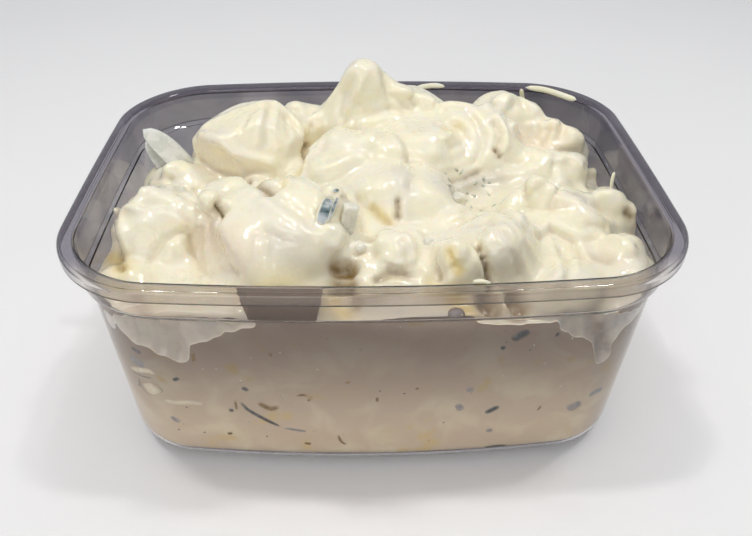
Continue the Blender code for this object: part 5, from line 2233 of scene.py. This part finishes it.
SMEARS = (
    Blade(((14.3, 47.4, 59.3), (17.0, 47.4, 59.7), (20.0, 47.5, 59.9), (22.9, 47.3, 59.6)), 1.6, 0.8,
          laid=False, facing=(0, -0.7, 0.7), ends=(0.4, 0.35)),
    Blade(((45.4, 45.7, 59.5), (46.0, 45.6, 57.1), (46.6, 45.5, 54.6)), 1.4, 0.9, laid=False,
          facing=(-0.1, -1, 0.1), ends=(0.3, 0.2)),
    Blade(((46.6, 45.9, 59.8), (51.5, 44.6, 59.7), (55.2, 42.5, 59.4), (58.3, 40.1, 59.1),
           (60.2, 38.2, 59.2)), 1.7, 0.9, laid=False, facing=(-0.4, -0.75, 0.5), ends=(0.2, 0.25)),
    Blade(((60.0, -3.0, 53.5), (60.0, -2.2, 56.0), (60.3, -1.6, 58.2)), 0.9, 0.8, laid=False,
          facing=(0, -1, 0), ends=(0.1, 0.3)),
    Blade(((19.0, -47.2, 59.6), (20.6, -47.4, 60.1), (22.6, -47.4, 59.3)), 1.8, 0.9, laid=False,
          facing=(0, 0.5, 0.86), ends=(0.4, 0.35)),
)
SPRINKLES = (
    ScatterRule("herb_flecks", Side.OPEN, 0.14, 5, least=(0.8, 0.35, 0.1), most=(2.4, 0.95, 0.13),
                patch_size=16.0, patch_edge=0.3, lift=0.01, centre=(22.5, -6.0, 56.0), reach=10.0,
                elsewhere=0.005),
    ScatterRule("pepper_at_the_wall", Side.PRESSED, 0.010, 9, least=(0.3, 0.25, 0.12), most=(0.85, 0.7, 0.16),
                patch_size=14.0, patch_edge=0.42, lift=0.03),
)


@dataclass
class Garnish:
    """The cut chives, onion, herb flecks, pepper and smears that lie on the salad and the tub."""

    salad: SaladHeap
    heap: Object
    ground: BVHTree = field(init=False)

    def __post_init__(self) -> None:
        """Take the heap's surface as the ground."""
        mesh = self.heap.data
        self.ground = BVHTree.FromPolygons([v.co[:] for v in mesh.vertices],
                                           [tuple(p.vertices) for p in mesh.polygons])

    def blades(self, name: str, blades: tuple[Blade, ...], finish: Material) -> Object:
        """Make one object of some blades.

        Args:
            name: The piece's name.
            blades: The blades.
            finish: Their material.

        Returns:
            The piece, riding on the tub's body.
        """
        whole = Scaffold([], [])
        values: dict[str, list[float]] = {"across": [], "edge": [], "along": []}
        for blade in blades:
            whole.add(blade.scaffold(self.ground))
            ring = [math.cos(2 * math.pi * step / blade.around) ** 2 for step in range(blade.around)]
            for row in range(blade.steps + 1):
                share = row / blade.steps
                thin = 1 - blade.fullness(share)
                values["across"] += ring
                values["edge"] += [max(across, thin) for across in ring]
                values["along"] += [share] * blade.around
        mesh = face_out(whole.mesh(name))
        for title, value in values.items():
            mesh.attributes.new(title, "FLOAT", "POINT").data.foreach_set("value", value)
        mesh.shade_smooth()
        return self.keep(add_object(name, mesh, finish))

    @staticmethod
    def keep(piece: Object) -> Object:
        """Let a piece ride with the tub, as salad.

        Args:
            piece: The piece.

        Returns:
            The same piece.
        """
        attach(piece, BODY)
        log.info("%s: %d faces", piece.name, len(piece.data.polygons))
        return piece

    def lumps(self, name: str, lumps: tuple[Lump, ...], finish: Material) -> Object:
        """Make one object of some solid bits.

        Args:
            name: The piece's name.
            lumps: The bits.
            finish: Their material.

        Returns:
            The piece, riding on the tub's body.
        """
        whole = Scaffold([], [])
        for lump in lumps:
            whole.add(self.salad.chunk(lump))
        mesh = whole.mesh(name)
        mesh.shade_smooth()
        return self.keep(add_object(name, mesh, finish))

    def collar_block(self) -> Object:
        """The bit of salad that is pressed flat on the front of the collar.

        Returns:
            The piece, riding on the tub's body.
        """
        tub = self.salad.tub
        dressing, pressed = self.heap.data.materials[:2]
        space = tub.in_collar(-tub.into_wall, tub.ledge_height + COLLAR_GAP, tub.height - tub.edge_round)
        rough = add_object("collar_block", self.salad.chunk(COLLAR_BLOCK).mesh("collar_block"), dressing)
        mesh = self.salad.pressed(rough, space, pressed)
        self.salad.mark_edges(mesh)
        return self.keep(add_object("collar_block", mesh))

    def build(self) -> None:
        """Make all the small pieces."""
        dressing = self.heap.data.materials[0]
        self.collar_block()
        self.blades("chives", CHIVES, HerbFinish(coated_end=0.5).material("chive_look"))
        for name, strip, colours in (("pale_patches", PALE_PATCHES, PALE_COLOURS),
                                     ("shade_lines", SHADE_LINES, SHADE_COLOURS),
                                     ("wall_herbs", WALL_HERBS, WALL_HERB_COLOURS),
                                     ("faint_herbs", FAINT_HERBS, FAINT_HERB_COLOURS),
                                     ("wall_bits", WALL_BITS, BIT_COLOURS)):
            sunk = HerbFinish(*colours, PressedFinish(), SUNK_EDGE, wet=0.0,
                              roughness=PressedFinish.roughness)
            self.blades(name, strip, sunk.material(f"{name}_look"))
        self.blades("onion_petal", ONION_SLIPS, OnionFinish().material("onion_look"))
        self.lumps("onion_bits", ONION_BITS, OnionFinish(*WHITE_ONION).material("onion_bit_look"))
        self.blades("dressing_smears", SMEARS, dressing)
        fleck = HerbFinish(*FLECK_COLOURS).material("fleck_look")
        for rule in SPRINKLES:
            mesh = rule.mesh(self.heap, fleck)
            mesh.name = rule.name
            self.keep(add_object(rule.name, mesh))


@dataclass(frozen=True)
class Lamp:
    """A soft square light that faces the tub: its place and side in millimetres, and its power in watts."""

    name: str
    place: Point
    side: float
    power: float
    colour: Colour = (1.0, 0.98, 0.95)


LAMPS = (
    Lamp("overhead_light", (20.0, 130.0, 620.0), 520.0, 0.3, (1.0, 0.985, 0.95)),
    Lamp("front_fill", (-250.0, -700.0, 350.0), 500.0, 1.42, (1.0, 0.97, 0.94)),
    Lamp("left_lamp", (-165.0, 40.0, 600.0), 36.0, 0.26),
    Lamp("right_lamp", (175.0, 40.0, 600.0), 36.0, 0.26),
    Lamp("left_streak_lamp", (-215.0, 40.0, 600.0), 40.0, 0.55),
    Lamp("right_streak_lamp", (247.0, 40.0, 600.0), 40.0, 0.55),
)


@dataclass
class Studio:
    """The pale floor, the soft lights and the camera."""

    eye: Point = (-3.968, -165.558, 152.655)
    aim: Point = (0.0, 0.0, 29.8)
    roll: float = 0.203
    lens: float = 36.45
    shift: Pair = (0.00625, -0.0076)
    floor_half: float = 3000.0
    floor_drop: float = 0.05
    floor_colour: Colour = from_srgb(246, 246, 247)
    floor_roughness: Pair = (0.6, 0.7)
    floor_scale: float = 0.02
    world_colour: Colour = (0.95, 0.97, 1.0)
    world_strength: float = 0.45
    sensor: float = 36.0
    clip: Pair = (0.01, 20.0)

    def floor(self) -> None:
        """Lay the pale floor."""
        body = bmesh.new()
        bmesh.ops.create_grid(body, x_segments=1, y_segments=1, size=self.floor_half * MM)
        bmesh.ops.translate(body, vec=(0, 0, -self.floor_drop * MM), verts=body.verts)
        material, sheet, surface = new_material("studio_floor_look")
        patch = sheet.noise(object_place(sheet), self.floor_scale)
        sheet.fill(surface, {"Base Color": self.floor_colour,
                             "Roughness": sheet.ramp(patch, 0.3, 0.7, *self.floor_roughness)})
        add_object("studio_floor", mesh_from(body, "studio_floor"), material)

    def hang(self, lamp: Lamp) -> None:
        """Hang a lamp.

        Args:
            lamp: The lamp.
        """
        light = bpy.data.lights.new(lamp.name, "AREA")
        light.shape = "SQUARE"
        light.size = lamp.side * MM
        light.energy = lamp.power
        light.color = lamp.colour
        holder = bpy.data.objects.new(lamp.name, light)
        holder.location = Vector(lamp.place) * MM
        way = Vector(self.aim) * MM - holder.location
        holder.rotation_euler = way.to_track_quat("-Z", "Y").to_euler()
        bpy.context.scene.collection.objects.link(holder)

    def camera(self) -> None:
        """Set the camera where the photograph was taken."""
        camera = bpy.data.cameras.new("camera")
        camera.sensor_width = self.sensor
        camera.lens = self.lens
        camera.shift_x, camera.shift_y = self.shift
        camera.clip_start, camera.clip_end = self.clip
        holder = bpy.data.objects.new("camera", camera)
        holder.location = Vector(self.eye) * MM
        way = (Vector(self.aim) - Vector(self.eye)).to_track_quat("-Z", "Y")
        turned = way @ Quaternion((0, 0, 1), math.radians(self.roll))
        holder.rotation_euler = turned.to_euler()
        bpy.context.scene.collection.objects.link(holder)
        bpy.context.scene.camera = holder

    def build(self) -> None:
        """Set up the whole studio."""
        self.floor()
        for lamp in LAMPS:
            self.hang(lamp)
        world = bpy.data.worlds.new("studio_world")
        world.use_nodes = True
        background = world.node_tree.nodes["Background"]
        background.inputs["Color"].default_value = (*self.world_colour, 1.0)
        background.inputs["Strength"].default_value = self.world_strength
        bpy.context.scene.world = world
        bpy.context.scene.view_settings.view_transform = "Standard"
        self.camera()


def main() -> None:
    """Build the studio, the tub and its salad."""
    logging.basicConfig(level=logging.INFO, format="%(name)s: %(message)s")
    Studio().build()
    tub = DeliTub()
    tub.build()
    salad = SaladHeap(tub)
    Garnish(salad, salad.build()).build()


if __name__ == "__main__":
    main()
